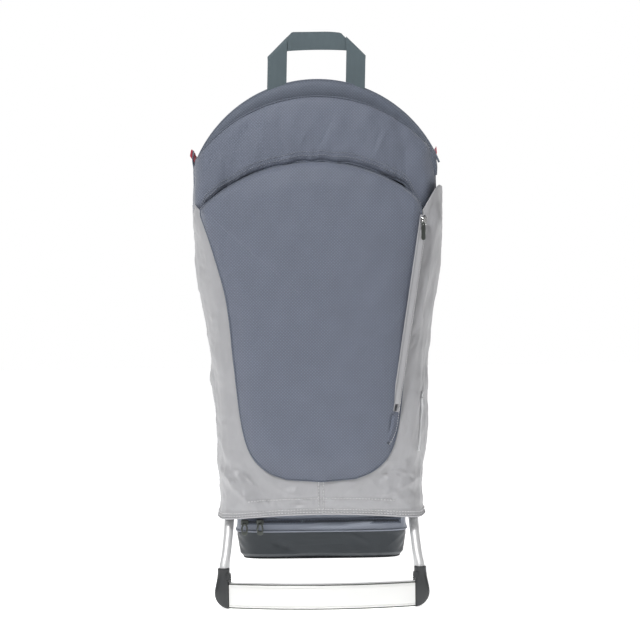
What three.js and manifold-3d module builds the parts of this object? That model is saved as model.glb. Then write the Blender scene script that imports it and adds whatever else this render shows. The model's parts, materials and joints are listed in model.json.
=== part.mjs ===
// A framed baby carrier backpack, standing on its folding base with the child's side to the front.
// Millimetres. +X to the right of someone facing the child's side, -Y towards them, +Z up.
// The wearer's harness is at +Y. z = 0 is the floor under the base bar and the two rear feet.
import * as THREE from "three";
import { mergeVertices } from "three/addons/utils/BufferGeometryUtils.js";
import Module from "manifold-3d";

// ---- driving dimensions -------------------------------------------------------------------
const GAP = 0.3; // between pieces that touch
const CENTRE_Y = 56; // depth of the middle of the whole carrier from the design datum

// Harness frame: one bent tube with a cross rail
const FRAME_Y = 90;
const FRAME_TUBE = { outer: 6.35, inner: 5.1 };
const LEG_X = 132; // legs above the splayed ends
const FOOT_X = 140;
const FRAME_TOP_Z = 620;
const FRAME_CORNER = 100; // bend radius at the shoulders
const RAIL_Z = 175;
const RAIL_RADIUS = 5.5;

// Folding stand: two tubes, elbows and a bowed base bar
const PIVOT = { y: 66, z: 330 };
const STAND_TUBE = { outer: 6.25, inner: 5.0 };
const STAND_SPREAD = { over: 256, by: 11 }; // how far each tube leans out along its straight run
const STAND_EYE_X = 114;
const ELBOW = { y: -106, inner: 125, outer: 144, depth: 20, low: 1, top: 54, corner: 17 };
const BASE_BAR = { height: 35, depth: 16, bow: 24, edge: 5 };
const HUB = { inner: 123, outer: 141, front: 80, back: 101, low: 300, top: 360, ear: 17 };
const BUTTON = { radius: 9, inner: 137.8, outer: 145, travel: 2.5 };
const PIN = { radius: 4, head: 7, headStart: 102, shaftStart: 106.2, end: 134.5 };

// Child's pod
const FRONT_Y = -108; // outer face of the fabric cover, in the middle
const COVER_THICKNESS = 3;
const HEM_Z = 117;
const COVER_TOP_Z = 526;
const WIDEST_Y = -20;
// [height, half width] where the cover is widest, and where its front turns into its sides
const SIDE_HALF_WIDTH = [
  [117, 142.5], [131, 141], [145, 139.5], [190, 141.5], [240, 143.5], [300, 148.5],
  [350, 152], [400, 158.5], [440, 166], [490, 170], [526, 171.5],
];
const FRONT_HALF_WIDTH = [
  [117, 106], [210, 104], [266, 108], [332, 115], [367, 117], [408, 123], [451, 132],
  [487, 140], [526, 149],
];
// [half width, height] of the pocket panel's lower edge
const POCKET_EDGE = [
  [0, 169.5], [46, 173], [67, 181], [83, 193], [94.5, 209], [102, 231], [108, 266],
  [115, 332], [123, 408], [140, 487], [150, 528],
];
const POCKET_INSET = 0.88; // the stuffed part of the panel, inside its zipped border
const CROWN_ARC = { radius: 179, centre: 531 };
const HOOD_ARC = { radius: 207, centre: 479 };
const YOKE_ARC = { radius: 230, centre: 369 };
const HEAD_HALF_WIDTH = 161;
const ZIP_TOP = new THREE.Vector3(143, -110.5, 525);
const ZIP_LOW = new THREE.Vector3(101, -110.5, 262);

// Storage bag under the seat
const BAG = { low: 60.5, seam: 99.7, top: 190, front: -75, back: 60 };
const BAG_ZIP_Z = 113;

// Wearer's harness
const BACK_SHEET = { front: 97.5, back: 99.5, half: 121, low: 150, top: 600 };
const BELT = { y: 243, z: 170, webbing: 38, thickness: 2.4 };
const STERNUM = { y: 226, z: 470, webbing: 20, thickness: 2 };
const SHOULDER = { x: 62, width: 60, thickness: 12 };
const GRAB = { y: -90, inner: 40, outer: 66, top: 775.5, band: 25 };

// ---- shape helpers ------------------------------------------------------------------------
const wasm = await Module();
wasm.setup();

const vec = (x, y, z) => new THREE.Vector3(x, y, z);

function toSolid(geometry) {
  const bare = geometry.clone();
  bare.deleteAttribute("normal");
  bare.deleteAttribute("uv");
  const merged = mergeVertices(bare, 1e-4);
  const vertProperties = merged.attributes.position.array;
  const triVerts = new Uint32Array(merged.index.array);
  return new wasm.Manifold(new wasm.Mesh({ numProp: 3, vertProperties, triVerts }));
}

function toGeometry(solid) {
  const mesh = solid.getMesh();
  const geometry = new THREE.BufferGeometry();
  geometry.setAttribute("position", new THREE.BufferAttribute(mesh.vertProperties, 3));
  geometry.setIndex(new THREE.BufferAttribute(mesh.triVerts, 1));
  geometry.computeVertexNormals();
  return geometry;
}

const join = (first, ...rest) =>
  toGeometry(rest.reduce((solid, next) => solid.add(toSolid(next)), toSolid(first)));
const cut = (first, ...rest) =>
  toGeometry(rest.reduce((solid, next) => solid.subtract(toSolid(next)), toSolid(first)));

// A smooth function through [position, value] pairs.
function profile(pairs) {
  const positions = pairs.map(([at]) => at);
  const values = pairs.map(([, value]) => value);
  const curve = new THREE.CubicInterpolant(positions, values, 1);
  const [first, last] = [positions[0], positions.at(-1)];
  return (at) => curve.evaluate(THREE.MathUtils.clamp(at, first, last))[0];
}

// Even steps from one number to another, both included.
const steps = (from, to, count) =>
  Array.from({ length: count + 1 }, (_, i) => from + ((to - from) * i) / count);

// A closed solid through matching loops of points; flatten gives a loop's own flat coordinates.
function loft(loops, flatten) {
  const count = loops[0].length;
  const index = [];
  for (let i = 0; i + 1 < loops.length; i++)
    for (let j = 0; j < count; j++) {
      const a = i * count + j;
      const b = i * count + ((j + 1) % count);
      index.push(a, b, b + count, a, b + count, a + count);
    }
  const addCap = (loopIndex, sameWay) => {
    const flat = loops[loopIndex].map(flatten);
    const loopSign = Math.sign(THREE.ShapeUtils.area(flat));
    for (const [a, b, c] of THREE.ShapeUtils.triangulateShape(flat, [])) {
      const triSign = Math.sign(THREE.ShapeUtils.area([flat[a], flat[b], flat[c]]));
      const keep = (triSign === loopSign) === sameWay;
      const first = loopIndex * count;
      index.push(first + a, first + (keep ? b : c), first + (keep ? c : b));
    }
  };
  addCap(0, false);
  addCap(loops.length - 1, true);
  const points = loops.flat();
  let volume = 0;
  for (let i = 0; i < index.length; i += 3) {
    const [a, b, c] = [points[index[i]], points[index[i + 1]], points[index[i + 2]]];
    volume += a.dot(b.clone().cross(c));
  }
  if (volume < 0) index.reverse();
  const geometry = new THREE.BufferGeometry();
  const positions = points.flatMap((p) => [p.x, p.y, p.z]);
  geometry.setAttribute("position", new THREE.Float32BufferAttribute(positions, 3));
  geometry.setIndex(index);
  geometry.computeVertexNormals();
  return geometry;
}

const inPlan = (p) => new THREE.Vector2(p.x, p.y);
const inFront = (p) => new THREE.Vector2(p.x, p.z);
const inSide = (p) => new THREE.Vector2(p.y, p.z);

const outline = (points) => new THREE.Shape(points.map(([u, v]) => new THREE.Vector2(u, v)));

// Outlines drawn from the front (x, z), from the side (y, z) and from above (x, y), made solid.
const plate = (shape, depth, curveSegments) =>
  new THREE.ExtrudeGeometry(shape, { depth, bevelEnabled: false, curveSegments });
const frontPlate = (shape, yFront, yBack) =>
  plate(shape, yBack - yFront, 4).rotateX(Math.PI / 2).translate(0, yBack, 0);
const sidePlate = (shape, xLow, xHigh) =>
  plate(shape, xHigh - xLow, 10).rotateY(Math.PI / 2).rotateX(Math.PI / 2).translate(xLow, 0, 0);
const block = (low, high) =>
  new THREE.BoxGeometry(high.x - low.x, high.y - low.y, high.z - low.z).translate(
    (low.x + high.x) / 2, (low.y + high.y) / 2, (low.z + high.z) / 2);

// A cylinder along X.
const axle = (radius, xLow, xHigh, y, z, sides = 24) =>
  new THREE.CylinderGeometry(radius, radius, xHigh - xLow, sides)
    .rotateZ(Math.PI / 2)
    .translate((xLow + xHigh) / 2, y, z);

function roundedRect(width, height, radius) {
  const [w, h] = [width / 2, height / 2];
  const shape = new THREE.Shape();
  shape.moveTo(-w + radius, -h).lineTo(w - radius, -h);
  shape.absarc(w - radius, -h + radius, radius, -Math.PI / 2, 0);
  shape.absarc(w - radius, h - radius, radius, 0, Math.PI / 2);
  shape.absarc(-w + radius, h - radius, radius, Math.PI / 2, Math.PI);
  shape.absarc(-w + radius, -h + radius, radius, Math.PI, Math.PI * 1.5);
  return shape;
}

function ringSection(outer, inner) {
  const shape = new THREE.Shape();
  shape.absarc(0, 0, outer, 0, Math.PI * 2);
  if (inner) shape.holes.push(new THREE.Path().absarc(0, 0, inner, 0, Math.PI * 2, true));
  return shape;
}

// A section swept along a curve; each arc of the section gets twice arcSegments facets.
const sweep = (section, curve, stepCount, arcSegments = 6) =>
  new THREE.ExtrudeGeometry(section, {
    extrudePath: curve, steps: stepCount, curveSegments: arcSegments, bevelEnabled: false,
  });

// A flat strap or block between two points, with its width along a given direction.
function strip(from, to, width, thickness, across) {
  const along = to.clone().sub(from);
  const length = along.length();
  along.normalize();
  const normal = along.clone().cross(across).normalize();
  const basis = new THREE.Matrix4().makeBasis(normal.clone().cross(along), normal, along);
  const middle = from.clone().lerp(to, 0.5);
  return new THREE.BoxGeometry(width, thickness, length)
    .applyMatrix4(basis.setPosition(middle));
}

// A loop like a rectangle with soft corners, as unit coordinates in -1..1.
const SOFT_CORNER = 2 / 5;
const softLoop = (count = 28) =>
  steps(0, Math.PI * 2, count).slice(0, -1).map((angle) => {
    const soft = (t) => Math.sign(t) * Math.abs(t) ** SOFT_CORNER;
    return [soft(Math.cos(angle)), soft(Math.sin(angle))];
  });

// A cushion between two corners, thin along one axis, its rim drawn in at both faces.
function pad(low, high, thin) {
  const centre = low.clone().add(high).multiplyScalar(0.5);
  const half = high.clone().sub(low).multiplyScalar(0.5);
  const [u, v] = ["x", "y", "z"].filter((axis) => axis !== thin);
  const loops = [[-1, 0.95], [-0.5, 1], [0.5, 1], [1, 0.95]].map(([level, size]) =>
    softLoop().map(([a, b]) => {
      const point = centre.clone();
      point[thin] += half[thin] * level;
      point[u] += half[u] * a * size;
      point[v] += half[v] * b * size;
      return point;
    }));
  return loft(loops, (p) => new THREE.Vector2(p[u], p[v]));
}

// A panel given over x: lower and upper edge, front and back face, each a function of x.
function panel(half, low, high, front, back, across = 28) {
  const loops = steps(-half, half, across).map((x) => [
    vec(x, front(x), low(x)), vec(x, front(x), high(x)),
    vec(x, back(x), high(x)), vec(x, back(x), low(x)),
  ]);
  return loft(loops, inSide);
}

const arcHeight = (arc) => (x) => arc.centre + Math.sqrt(arc.radius ** 2 - x ** 2);

// ---- materials ----------------------------------------------------------------------------
const finish = (color, roughness, metalness = 0) => () =>
  new THREE.MeshStandardMaterial({ color, roughness, metalness });
const slateFabric = finish(0x737a8a, 0.85);
const darkSlateFabric = finish(0x5c6574, 0.85);
const greyFabric = finish(0xb4b6bb, 0.7);
const charcoalFabric = finish(0x303941, 0.9);
const meshFabric = finish(0x3a4148, 0.95);
const webbing = finish(0x66737a, 0.8);
const blackWebbing = finish(0x24272b, 0.8);
const anodised = finish(0xe8e9e6, 0.35, 1);
const steel = finish(0xa9adb0, 0.3, 1);
const darkSteel = finish(0x4a4d50, 0.4, 1);
const blackPlastic = finish(0x34363a, 0.5);
const rubber = finish(0x1d1e20, 0.9);
const redPlastic = finish(0xb03040, 0.45);
const coil = finish(0x2a2e33, 0.6);

const group = new THREE.Group();
function add(name, geometry, material) {
  const mesh = new THREE.Mesh(geometry, material());
  mesh.name = name;
  group.add(mesh);
}

// Adds a piece on the right (+X) and its mirror image on the left.
function addPair(name, geometry, material) {
  add("right_" + name, geometry, material);
  add("left_" + name, mirrored(geometry), material);
}

function mirrored(geometry) {
  const copy = geometry.index ? geometry.toNonIndexed() : geometry.clone();
  copy.scale(-1, 1, 1);
  const p = copy.attributes.position;
  for (let i = 0; i < p.count; i += 3) {
    const [x, y, z] = [p.getX(i + 1), p.getY(i + 1), p.getZ(i + 1)];
    p.setXYZ(i + 1, p.getX(i + 2), p.getY(i + 2), p.getZ(i + 2));
    p.setXYZ(i + 2, x, y, z);
  }
  return copy;
}

// ---- harness frame ------------------------------------------------------------------------
function frameCurve() {
  const bend = steps(0, Math.PI / 2, 4).map((angle) => [
    LEG_X - FRAME_CORNER * (1 - Math.cos(angle)),
    FRAME_TOP_Z - FRAME_CORNER * (1 - Math.sin(angle)),
  ]);
  const rightHalf = [
    [FOOT_X, 4], [138, 37], [133, 94], [LEG_X, 140], [LEG_X, 300], [LEG_X, 420], ...bend,
  ];
  const leftHalf = rightHalf.map(([x, z]) => [-x, z]).reverse();
  const points = [...rightHalf, [0, FRAME_TOP_Z], ...leftHalf];
  return new THREE.CatmullRomCurve3(points.map(([x, z]) => vec(x, FRAME_Y, z)));
}
const FRAME_STEPS = 60;
const frameTube = sweep(ringSection(FRAME_TUBE.outer, FRAME_TUBE.inner), frameCurve(), FRAME_STEPS);
const frameClearance = sweep(ringSection(FRAME_TUBE.outer + GAP), frameCurve(), FRAME_STEPS);
const RAIL_HALF = LEG_X - FRAME_TUBE.outer + 1; // ends inside the leg's wall
const rail = axle(RAIL_RADIUS, -RAIL_HALF, RAIL_HALF, FRAME_Y, RAIL_Z, 16);
add("frame_tube", join(frameTube, rail), anodised);

const footProfile = [[0, 0], [9.2, 0], [10.4, 1.5], [9.6, 24], [8.8, 26], [0, 26]];
const foot = new THREE.LatheGeometry(footProfile.map(([r, z]) => new THREE.Vector2(r, z)), 20)
  .rotateX(Math.PI / 2)
  .translate(FOOT_X, FRAME_Y, 0);
addPair("rear_foot", cut(foot, frameClearance), rubber);

// ---- hinge hubs, pins and lock buttons ----------------------------------------------------
function hub() {
  const shape = new THREE.Shape();
  const earAngle = Math.PI / 3;
  shape.moveTo(HUB.front, HUB.low).lineTo(HUB.back, HUB.low);
  shape.lineTo(HUB.back, HUB.top).lineTo(HUB.front, HUB.top);
  shape.absarc(PIVOT.y, PIVOT.z, HUB.ear, earAngle, -earAngle);
  return cut(
    sidePlate(shape, HUB.inner, HUB.outer),
    frameClearance,
    axle(PIN.radius + GAP, HUB.inner - 1, HUB.outer, PIVOT.y, PIVOT.z),
    axle(BUTTON.radius + 0.4, BUTTON.inner - BUTTON.travel - 0.5, HUB.outer + 1, PIVOT.y, PIVOT.z),
  );
}
addPair("hinge_hub", hub(), blackPlastic);
const pinProfile = [
  [0, PIN.headStart], [PIN.head, PIN.headStart], [PIN.head, PIN.shaftStart],
  [PIN.radius, PIN.shaftStart], [PIN.radius, PIN.end], [0, PIN.end],
];
const pin = new THREE.LatheGeometry(pinProfile.map(([r, x]) => new THREE.Vector2(r, x)), 24)
  .rotateZ(-Math.PI / 2)
  .translate(0, PIVOT.y, PIVOT.z);
addPair("hinge_pin", pin, steel);
const button = axle(BUTTON.radius, BUTTON.inner, BUTTON.outer, PIVOT.y, PIVOT.z);
addPair("lock_button", button, redPlastic);

// ---- folding stand ------------------------------------------------------------------------
// Each tube runs straight from the hinge, splaying, then turns upright into its elbow.
const TUBE_DIRECTION = vec(0, -166, -268).normalize();
const alongTube = (distance) => vec(
  STAND_EYE_X + (distance / STAND_SPREAD.over) * STAND_SPREAD.by,
  PIVOT.y + TUBE_DIRECTION.y * distance, PIVOT.z + TUBE_DIRECTION.z * distance);
const standCurve = (start) => new THREE.CatmullRomCurve3([
  alongTube(start), alongTube(90), alongTube(180), alongTube(STAND_SPREAD.over),
  vec(128.7, -95, 72), vec(131.3, -103.5, 57), vec(132, ELBOW.y, 45), vec(132.2, ELBOW.y, 27),
]);
const standTube = sweep(ringSection(STAND_TUBE.outer, STAND_TUBE.inner), standCurve(16), 24);
const standClearance = sweep(ringSection(STAND_TUBE.outer + GAP), standCurve(16), 24);
addPair("stand_tube", standTube, anodised);

const socketCurve = new THREE.LineCurve3(alongTube(6), alongTube(48));
const standEye = cut(
  join(axle(13, 106.5, 122.4, PIVOT.y, PIVOT.z), sweep(ringSection(8), socketCurve, 1)),
  axle(PIN.radius + GAP, 105, 124, PIVOT.y, PIVOT.z),
  standClearance,
);
addPair("stand_eye", standEye, blackPlastic);

function elbow() {
  const { inner, outer, low, top, corner } = ELBOW;
  const shape = new THREE.Shape();
  shape.moveTo(inner, low).lineTo(outer - corner, low);
  shape.absarc(outer - corner, low + corner, corner, -Math.PI / 2, 0);
  shape.absarc(outer - 5, top - 5, 5, 0, Math.PI / 2);
  shape.lineTo(inner + 1, top).lineTo(inner, top - 14);
  const body = frontPlate(shape, ELBOW.y - ELBOW.depth / 2, ELBOW.y + ELBOW.depth / 2);
  return cut(body, standClearance);
}
addPair("base_elbow", elbow(), blackPlastic);

const BAR_HALF = ELBOW.inner - GAP;
const barSection = roundedRect(BASE_BAR.depth, BASE_BAR.height, BASE_BAR.edge).getPoints(3);
barSection.pop();
const barLoops = steps(-BAR_HALF, BAR_HALF, 16).map((x) => {
  const bow = BASE_BAR.bow * (1 - (x / BAR_HALF) ** 2);
  return barSection.map((p) => vec(x, ELBOW.y - bow + p.x, BASE_BAR.height / 2 + p.y));
});
add("base_bar", loft(barLoops, inSide), anodised);

// ---- child's pod --------------------------------------------------------------------------
const sideHalf = profile(SIDE_HALF_WIDTH);
const frontHalf = profile(FRONT_HALF_WIDTH);

// The cover's sides reach back to the frame above the leg openings and stop short beside them.
function coverRear(z) {
  const [skirt, legHole, upper] = [50, 28, 78];
  const rise = (low, high) => THREE.MathUtils.clamp((z - low) / (high - low), 0, 1);
  return skirt + (legHole - skirt) * rise(190, 204) + (upper - legHole) * rise(345, 375);
}

function coverLoop(z) {
  const [side, front, rear] = [sideHalf(z), frontHalf(z), coverRear(z)];
  const rearX = Math.min(side, 148);
  const half = [
    [rearX, rear], [side, WIDEST_Y], [front + 0.7 * (side - front), -78], [front, -102],
    [front * 0.5, FRONT_Y + 0.6],
  ];
  const whole = [...half, [0, FRONT_Y], ...half.map(([x, y]) => [-x, y]).reverse()];
  const curve = new THREE.SplineCurve(whole.map(([x, y]) => new THREE.Vector2(x, y)));
  const count = 24;
  const outer = steps(0, 1, count).map((t) => curve.getPoint(t));
  const inner = steps(0, 1, count).map((t) => {
    const tangent = curve.getTangent(t);
    return curve.getPoint(t).add(new THREE.Vector2(tangent.y, -tangent.x)
      .multiplyScalar(COVER_THICKNESS));
  });
  return [...outer, ...inner.reverse()].map((p) => vec(p.x, p.y, z));
}
const coverHeights = [
  HEM_Z, 131, 150, 190, 204, 250, 300, 345, 375, 410, 450, 490, COVER_TOP_Z,
];
add("outer_cover", loft(coverHeights.map(coverLoop), inPlan), greyFabric);

const pocketLow = profile(POCKET_EDGE);
const yokeHeight = arcHeight(YOKE_ARC);
const POCKET_HALF = 150 * POCKET_INSET;
add("pocket_panel", panel(
  POCKET_HALF,
  (x) => pocketLow(Math.abs(x) / POCKET_INSET) + 6,
  (x) => yokeHeight(x) - GAP,
  (x) => -125 + 14 * (x / POCKET_HALF) ** 2,
  () => FRONT_Y - 0.6,
), slateFabric);

const wrap = (x) => (x / HEAD_HALF_WIDTH) ** 2; // how far a head panel has turned round the side
add("head_panel", panel(
  HEAD_HALF_WIDTH,
  (x) => yokeHeight(x) + GAP,
  (x) => arcHeight(HOOD_ARC)(x),
  (x) => -118 + 30 * wrap(x),
  (x) => -100 + 24 * wrap(x),
), slateFabric);
add("head_rim", panel(
  150,
  (x) => arcHeight(CROWN_ARC)(x) - 26,
  arcHeight(CROWN_ARC),
  (x) => -99.6 + 24 * wrap(x),
  (x) => -78 + 24 * wrap(x),
), darkSlateFabric);
const wingShape = outline([[-84, 529], [76, 529], [80, 560], [66, 590], [-58, 620], [-80, 606]]);
addPair("head_wing", sidePlate(wingShape, 163, 167), slateFabric);

add("child_back_pad", pad(vec(-85, -88, 250), vec(85, -74, 640), "y"), charcoalFabric);
add("seat_pad", pad(vec(-80, -72, 205), vec(80, 40, 225), "z"), charcoalFabric);
add("face_pad", pad(vec(-95, 58, 575), vec(95, 82, 640), "y"), charcoalFabric);

// Child's harness, lying against the back pad
const CHILD_STRAP_Y = -72.3;
const childStrapTop = vec(48, CHILD_STRAP_Y, 585);
const childStrapEnd = vec(14, CHILD_STRAP_Y, 344);
addPair("child_strap", strip(childStrapTop, childStrapEnd, 25, 2, vec(1, 0, 0)), blackWebbing);
add("child_crotch_strap", block(vec(-12.5, -72.6, 226), vec(12.5, -70.6, 310.5)), blackWebbing);
const frontAxle = (radius, yFront, yBack, z) =>
  new THREE.CylinderGeometry(radius, radius, yBack - yFront, 24)
    .translate(0, (yFront + yBack) / 2, z);
const CHILD_BUCKLE_Z = 325;
const childBuckle = frontPlate(roundedRect(46, 28, 7), -73.2, -60).translate(0, 0, CHILD_BUCKLE_Z);
add("child_buckle", cut(childBuckle, frontAxle(8.4, -67, -59, CHILD_BUCKLE_Z)), blackPlastic);
add("child_buckle_button", frontAxle(8, -64, -58, CHILD_BUCKLE_Z), redPlastic);

// ---- storage bag --------------------------------------------------------------------------
const bagLoop = (z, half, front, back) =>
  softLoop(32).map(([a, b]) => vec(half * a, (front + back) / 2 + ((back - front) / 2) * b, z));
add("storage_bag", loft([
  bagLoop(BAG.seam + GAP, 113, BAG.front, BAG.back),
  bagLoop(145, 113, BAG.front, BAG.back),
  bagLoop(BAG.top, 109, BAG.front + 3, BAG.back - 4),
], inPlan), slateFabric);
add("bag_base", loft([
  bagLoop(BAG.low, 103, -58, 46),
  bagLoop(66, 109, -66, 53),
  bagLoop(BAG.seam, 113, BAG.front, BAG.back),
], inPlan), charcoalFabric);
add("bag_zip_tape", block(
  vec(-108, BAG.front - 2.6, BAG_ZIP_Z - 4), vec(108, BAG.front - GAP, BAG_ZIP_Z + 4)), coil);

// ---- zip sliders and their pulls ----------------------------------------------------------
function zipSlider(x, yBack, z, width, height) {
  const shape = roundedRect(width, height, 2);
  return frontPlate(shape, yBack - 4.4, yBack).translate(x, 0, z);
}
function zipPull(x, yBack, zTop, width, length) {
  const shape = roundedRect(width, length, width / 2 - 0.1);
  shape.holes.push(new THREE.Path().absarc(0, length / 2 - 3, 1, 0, Math.PI * 2, true));
  return frontPlate(shape, yBack - 2, yBack).translate(x, 0, zTop - length / 2);
}
const bagSliderY = BAG.front - 2.6 - GAP;
for (const [side, x] of [["outer", -104], ["inner", -83]]) {
  add("bag_zip_slider_" + side, zipSlider(x, bagSliderY, BAG_ZIP_Z, 10, 8), darkSteel);
  add("bag_zip_pull_" + side, zipPull(x, bagSliderY - 4.8, BAG_ZIP_Z, 6, 24), blackPlastic);
}
const zipTape = strip(ZIP_TOP, ZIP_LOW, 7, 2, vec(1, 0, 0));
add("pocket_zip_tape", zipTape, coil);
const sliderSpot = ZIP_TOP.clone().lerp(ZIP_LOW, 0.03);
const pocketSliderY = ZIP_TOP.y - 1 - GAP;
add("pocket_zip_slider", zipSlider(sliderSpot.x, pocketSliderY, sliderSpot.z, 8, 12), steel);
const pocketPull = zipPull(sliderSpot.x - 0.5, pocketSliderY - 4.8, sliderSpot.z - 2, 5.4, 24);
add("pocket_zip_pull", pocketPull, darkSteel);

// ---- grab handle --------------------------------------------------------------------------
function grabHandle() {
  const foot = (x) => arcHeight(CROWN_ARC)(x) + 1;
  const [inner, outer, top] = [GRAB.inner, GRAB.outer, GRAB.top];
  const half = [[outer, foot(outer)], [outer, top - 33], [outer - 33, top]];
  const innerHalf = [[inner, top - GRAB.band], [inner, foot(inner)]];
  const mirror = (points) => points.map(([x, z]) => [-x, z]).reverse();
  return outline([...half, ...mirror(half), ...mirror(innerHalf), ...innerHalf]);
}
add("grab_handle", frontPlate(grabHandle(), GRAB.y - 1.2, GRAB.y + 1.2), webbing);

// ---- wearer's harness ---------------------------------------------------------------------
const sheetHeight = BACK_SHEET.top - BACK_SHEET.low;
const sheetOutline = roundedRect(BACK_SHEET.half * 2, sheetHeight, 60);
const backSheet = frontPlate(sheetOutline, BACK_SHEET.front, BACK_SHEET.back)
  .translate(0, 0, BACK_SHEET.low + sheetHeight / 2);
add("back_sheet", backSheet, blackPlastic);
add("back_pad", pad(vec(-112, 100, 228), vec(112, 118, 560), "y"), meshFabric);
add("lumbar_pad", pad(vec(-94, 100, 118), vec(94, 136, 224), "y"), meshFabric);

const shoulderCurve = new THREE.CatmullRomCurve3([
  vec(SHOULDER.x, 127, 548), vec(SHOULDER.x, 136, 582), vec(SHOULDER.x, 163, 592),
  vec(SHOULDER.x, 193, 562), vec(SHOULDER.x, 206, 520), vec(SHOULDER.x, 212, 460),
  vec(SHOULDER.x, 216, 415), vec(SHOULDER.x, 205, 372), vec(SHOULDER.x, 189, 338),
]);
const shoulderSection = roundedRect(SHOULDER.width, SHOULDER.thickness, 5);
addPair("shoulder_strap", sweep(shoulderSection, shoulderCurve, 22, 1), meshFabric);
const strapEnd = shoulderCurve.getPoint(1);
const strapEndDirection = shoulderCurve.getTangent(1);
const pastStrap = (distance) => strapEnd.clone().addScaledVector(strapEndDirection, distance);
function ladderLock() {
  const slot = (from, to) => strip(pastStrap(from), pastStrap(to), 21, 12, vec(1, 0, 0));
  return cut(strip(pastStrap(1.5), pastStrap(22), 27, 6, vec(1, 0, 0)), slot(4.5, 8), slot(13, 16.5));
}
addPair("strap_adjuster", ladderLock(), blackPlastic);
const STRAP_ANCHOR = vec(103, 122, 240); // where the strap's webbing is sewn to the hip belt
const strapRun = strip(pastStrap(27), STRAP_ANCHOR, 20, 2, vec(1, 0, 0.4));
addPair("strap_webbing", strapRun, blackWebbing);

const wingCurve = new THREE.CatmullRomCurve3([
  vec(104, 112, BELT.z), vec(121, 128, BELT.z), vec(133, 160, BELT.z),
  vec(133, 195, BELT.z), vec(124, 218, BELT.z), vec(109, 231, BELT.z),
]);
addPair("hip_wing", sweep(roundedRect(90, 12, 5), wingCurve, 14, 1), meshFabric);

// A side-release buckle on flat webbing, closed: the plug's tongue sits in the socket.
function addBuckle(name, { y, z, webbing: band, thickness }, reach, bodyDepth, webbingEnd) {
  const [halfBody, halfBand, halfTongue] = [band / 2 + 3, band / 2, band / 2 - 2];
  const body = (from, to) =>
    block(vec(from, y - bodyDepth / 2, z - halfBody), vec(to, y + bodyDepth / 2, z + halfBody));
  const tongue = (from, to, spare) => block(
    vec(from, y - bodyDepth / 4 - spare, z - halfTongue - spare),
    vec(to, y + bodyDepth / 4 + spare, z + halfTongue + spare));
  const run = (from, to) =>
    block(vec(from, y - thickness / 2, z - halfBand), vec(to, y + thickness / 2, z + halfBand));
  add(name + "_socket", cut(body(GAP, reach), tongue(0, reach * 0.7, 0.5)), blackPlastic);
  add(name + "_plug", join(body(-reach, -GAP), tongue(-2, reach * 0.6, 0)), blackPlastic);
  add(name + "_right_webbing", run(reach + GAP, webbingEnd), blackWebbing);
  add(name + "_left_webbing", run(-webbingEnd, -reach - GAP), blackWebbing);
}
addBuckle("hip", BELT, 36, 14, 112);
addBuckle("sternum", STERNUM, 22, 9, 76);

group.position.y = -CENTRE_Y;
export default group;
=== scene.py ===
"""The looks of a framed baby carrier backpack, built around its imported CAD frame. Metres, +Z up."""
import json
import math

import bpy
import bmesh
import numpy as np
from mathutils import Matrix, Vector
from mathutils.bvhtree import BVHTree

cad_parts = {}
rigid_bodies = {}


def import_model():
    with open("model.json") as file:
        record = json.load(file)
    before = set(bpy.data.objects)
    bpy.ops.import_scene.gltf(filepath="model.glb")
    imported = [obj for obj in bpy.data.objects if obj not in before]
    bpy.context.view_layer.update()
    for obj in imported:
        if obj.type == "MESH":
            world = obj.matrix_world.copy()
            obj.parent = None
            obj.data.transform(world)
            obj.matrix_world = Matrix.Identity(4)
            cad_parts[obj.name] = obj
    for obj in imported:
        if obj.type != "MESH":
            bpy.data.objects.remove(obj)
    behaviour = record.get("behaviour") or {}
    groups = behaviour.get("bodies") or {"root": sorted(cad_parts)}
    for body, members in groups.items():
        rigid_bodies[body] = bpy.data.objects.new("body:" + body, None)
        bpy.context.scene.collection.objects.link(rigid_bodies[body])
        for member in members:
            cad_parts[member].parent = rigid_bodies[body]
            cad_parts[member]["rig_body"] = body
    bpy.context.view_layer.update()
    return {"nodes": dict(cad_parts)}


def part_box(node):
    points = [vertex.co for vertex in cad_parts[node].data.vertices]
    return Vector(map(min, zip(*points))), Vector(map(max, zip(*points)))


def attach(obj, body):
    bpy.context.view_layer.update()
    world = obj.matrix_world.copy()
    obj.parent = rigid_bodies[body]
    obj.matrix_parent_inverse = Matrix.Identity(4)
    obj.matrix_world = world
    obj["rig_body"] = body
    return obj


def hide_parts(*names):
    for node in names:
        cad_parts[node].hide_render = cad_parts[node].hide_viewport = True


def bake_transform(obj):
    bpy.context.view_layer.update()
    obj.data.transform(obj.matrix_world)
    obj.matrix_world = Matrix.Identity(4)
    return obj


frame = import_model()
NODES = frame["nodes"]
MM = 0.001

# ---- the carrier's own dimensions, beyond what the frame's nodes give ---------------------
CROWN = {"radius": 0.179, "centre": 0.531}  # arcs seen from the front, centres on x = 0
HOOD = {"radius": 0.207, "centre": 0.479}
YOKE = {"radius": 0.230, "centre": 0.369}
# half width and height of the pocket panel's border, from the middle of its lower edge up
POCKET_BORDER = [
    (0, 0.1695), (0.046, 0.173), (0.067, 0.181), (0.083, 0.193), (0.0945, 0.209), (0.102, 0.231),
    (0.108, 0.266), (0.115, 0.332), (0.123, 0.408), (0.139, 0.487), (0.1490, 0.528),
]
PANEL_LEAN = 0.0085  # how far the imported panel's top has sagged to the left
ROOT = "carrier"

# ---- studio -------------------------------------------------------------------------------
CAMERA_DISTANCE = 3.0  # from the plane of the grab handle
CAMERA_HEIGHT = 0.386
VIEW_HEIGHT = 0.864  # what the frame takes in at that plane
SENSOR = 36.0
ROLL = math.radians(0.7)


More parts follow.
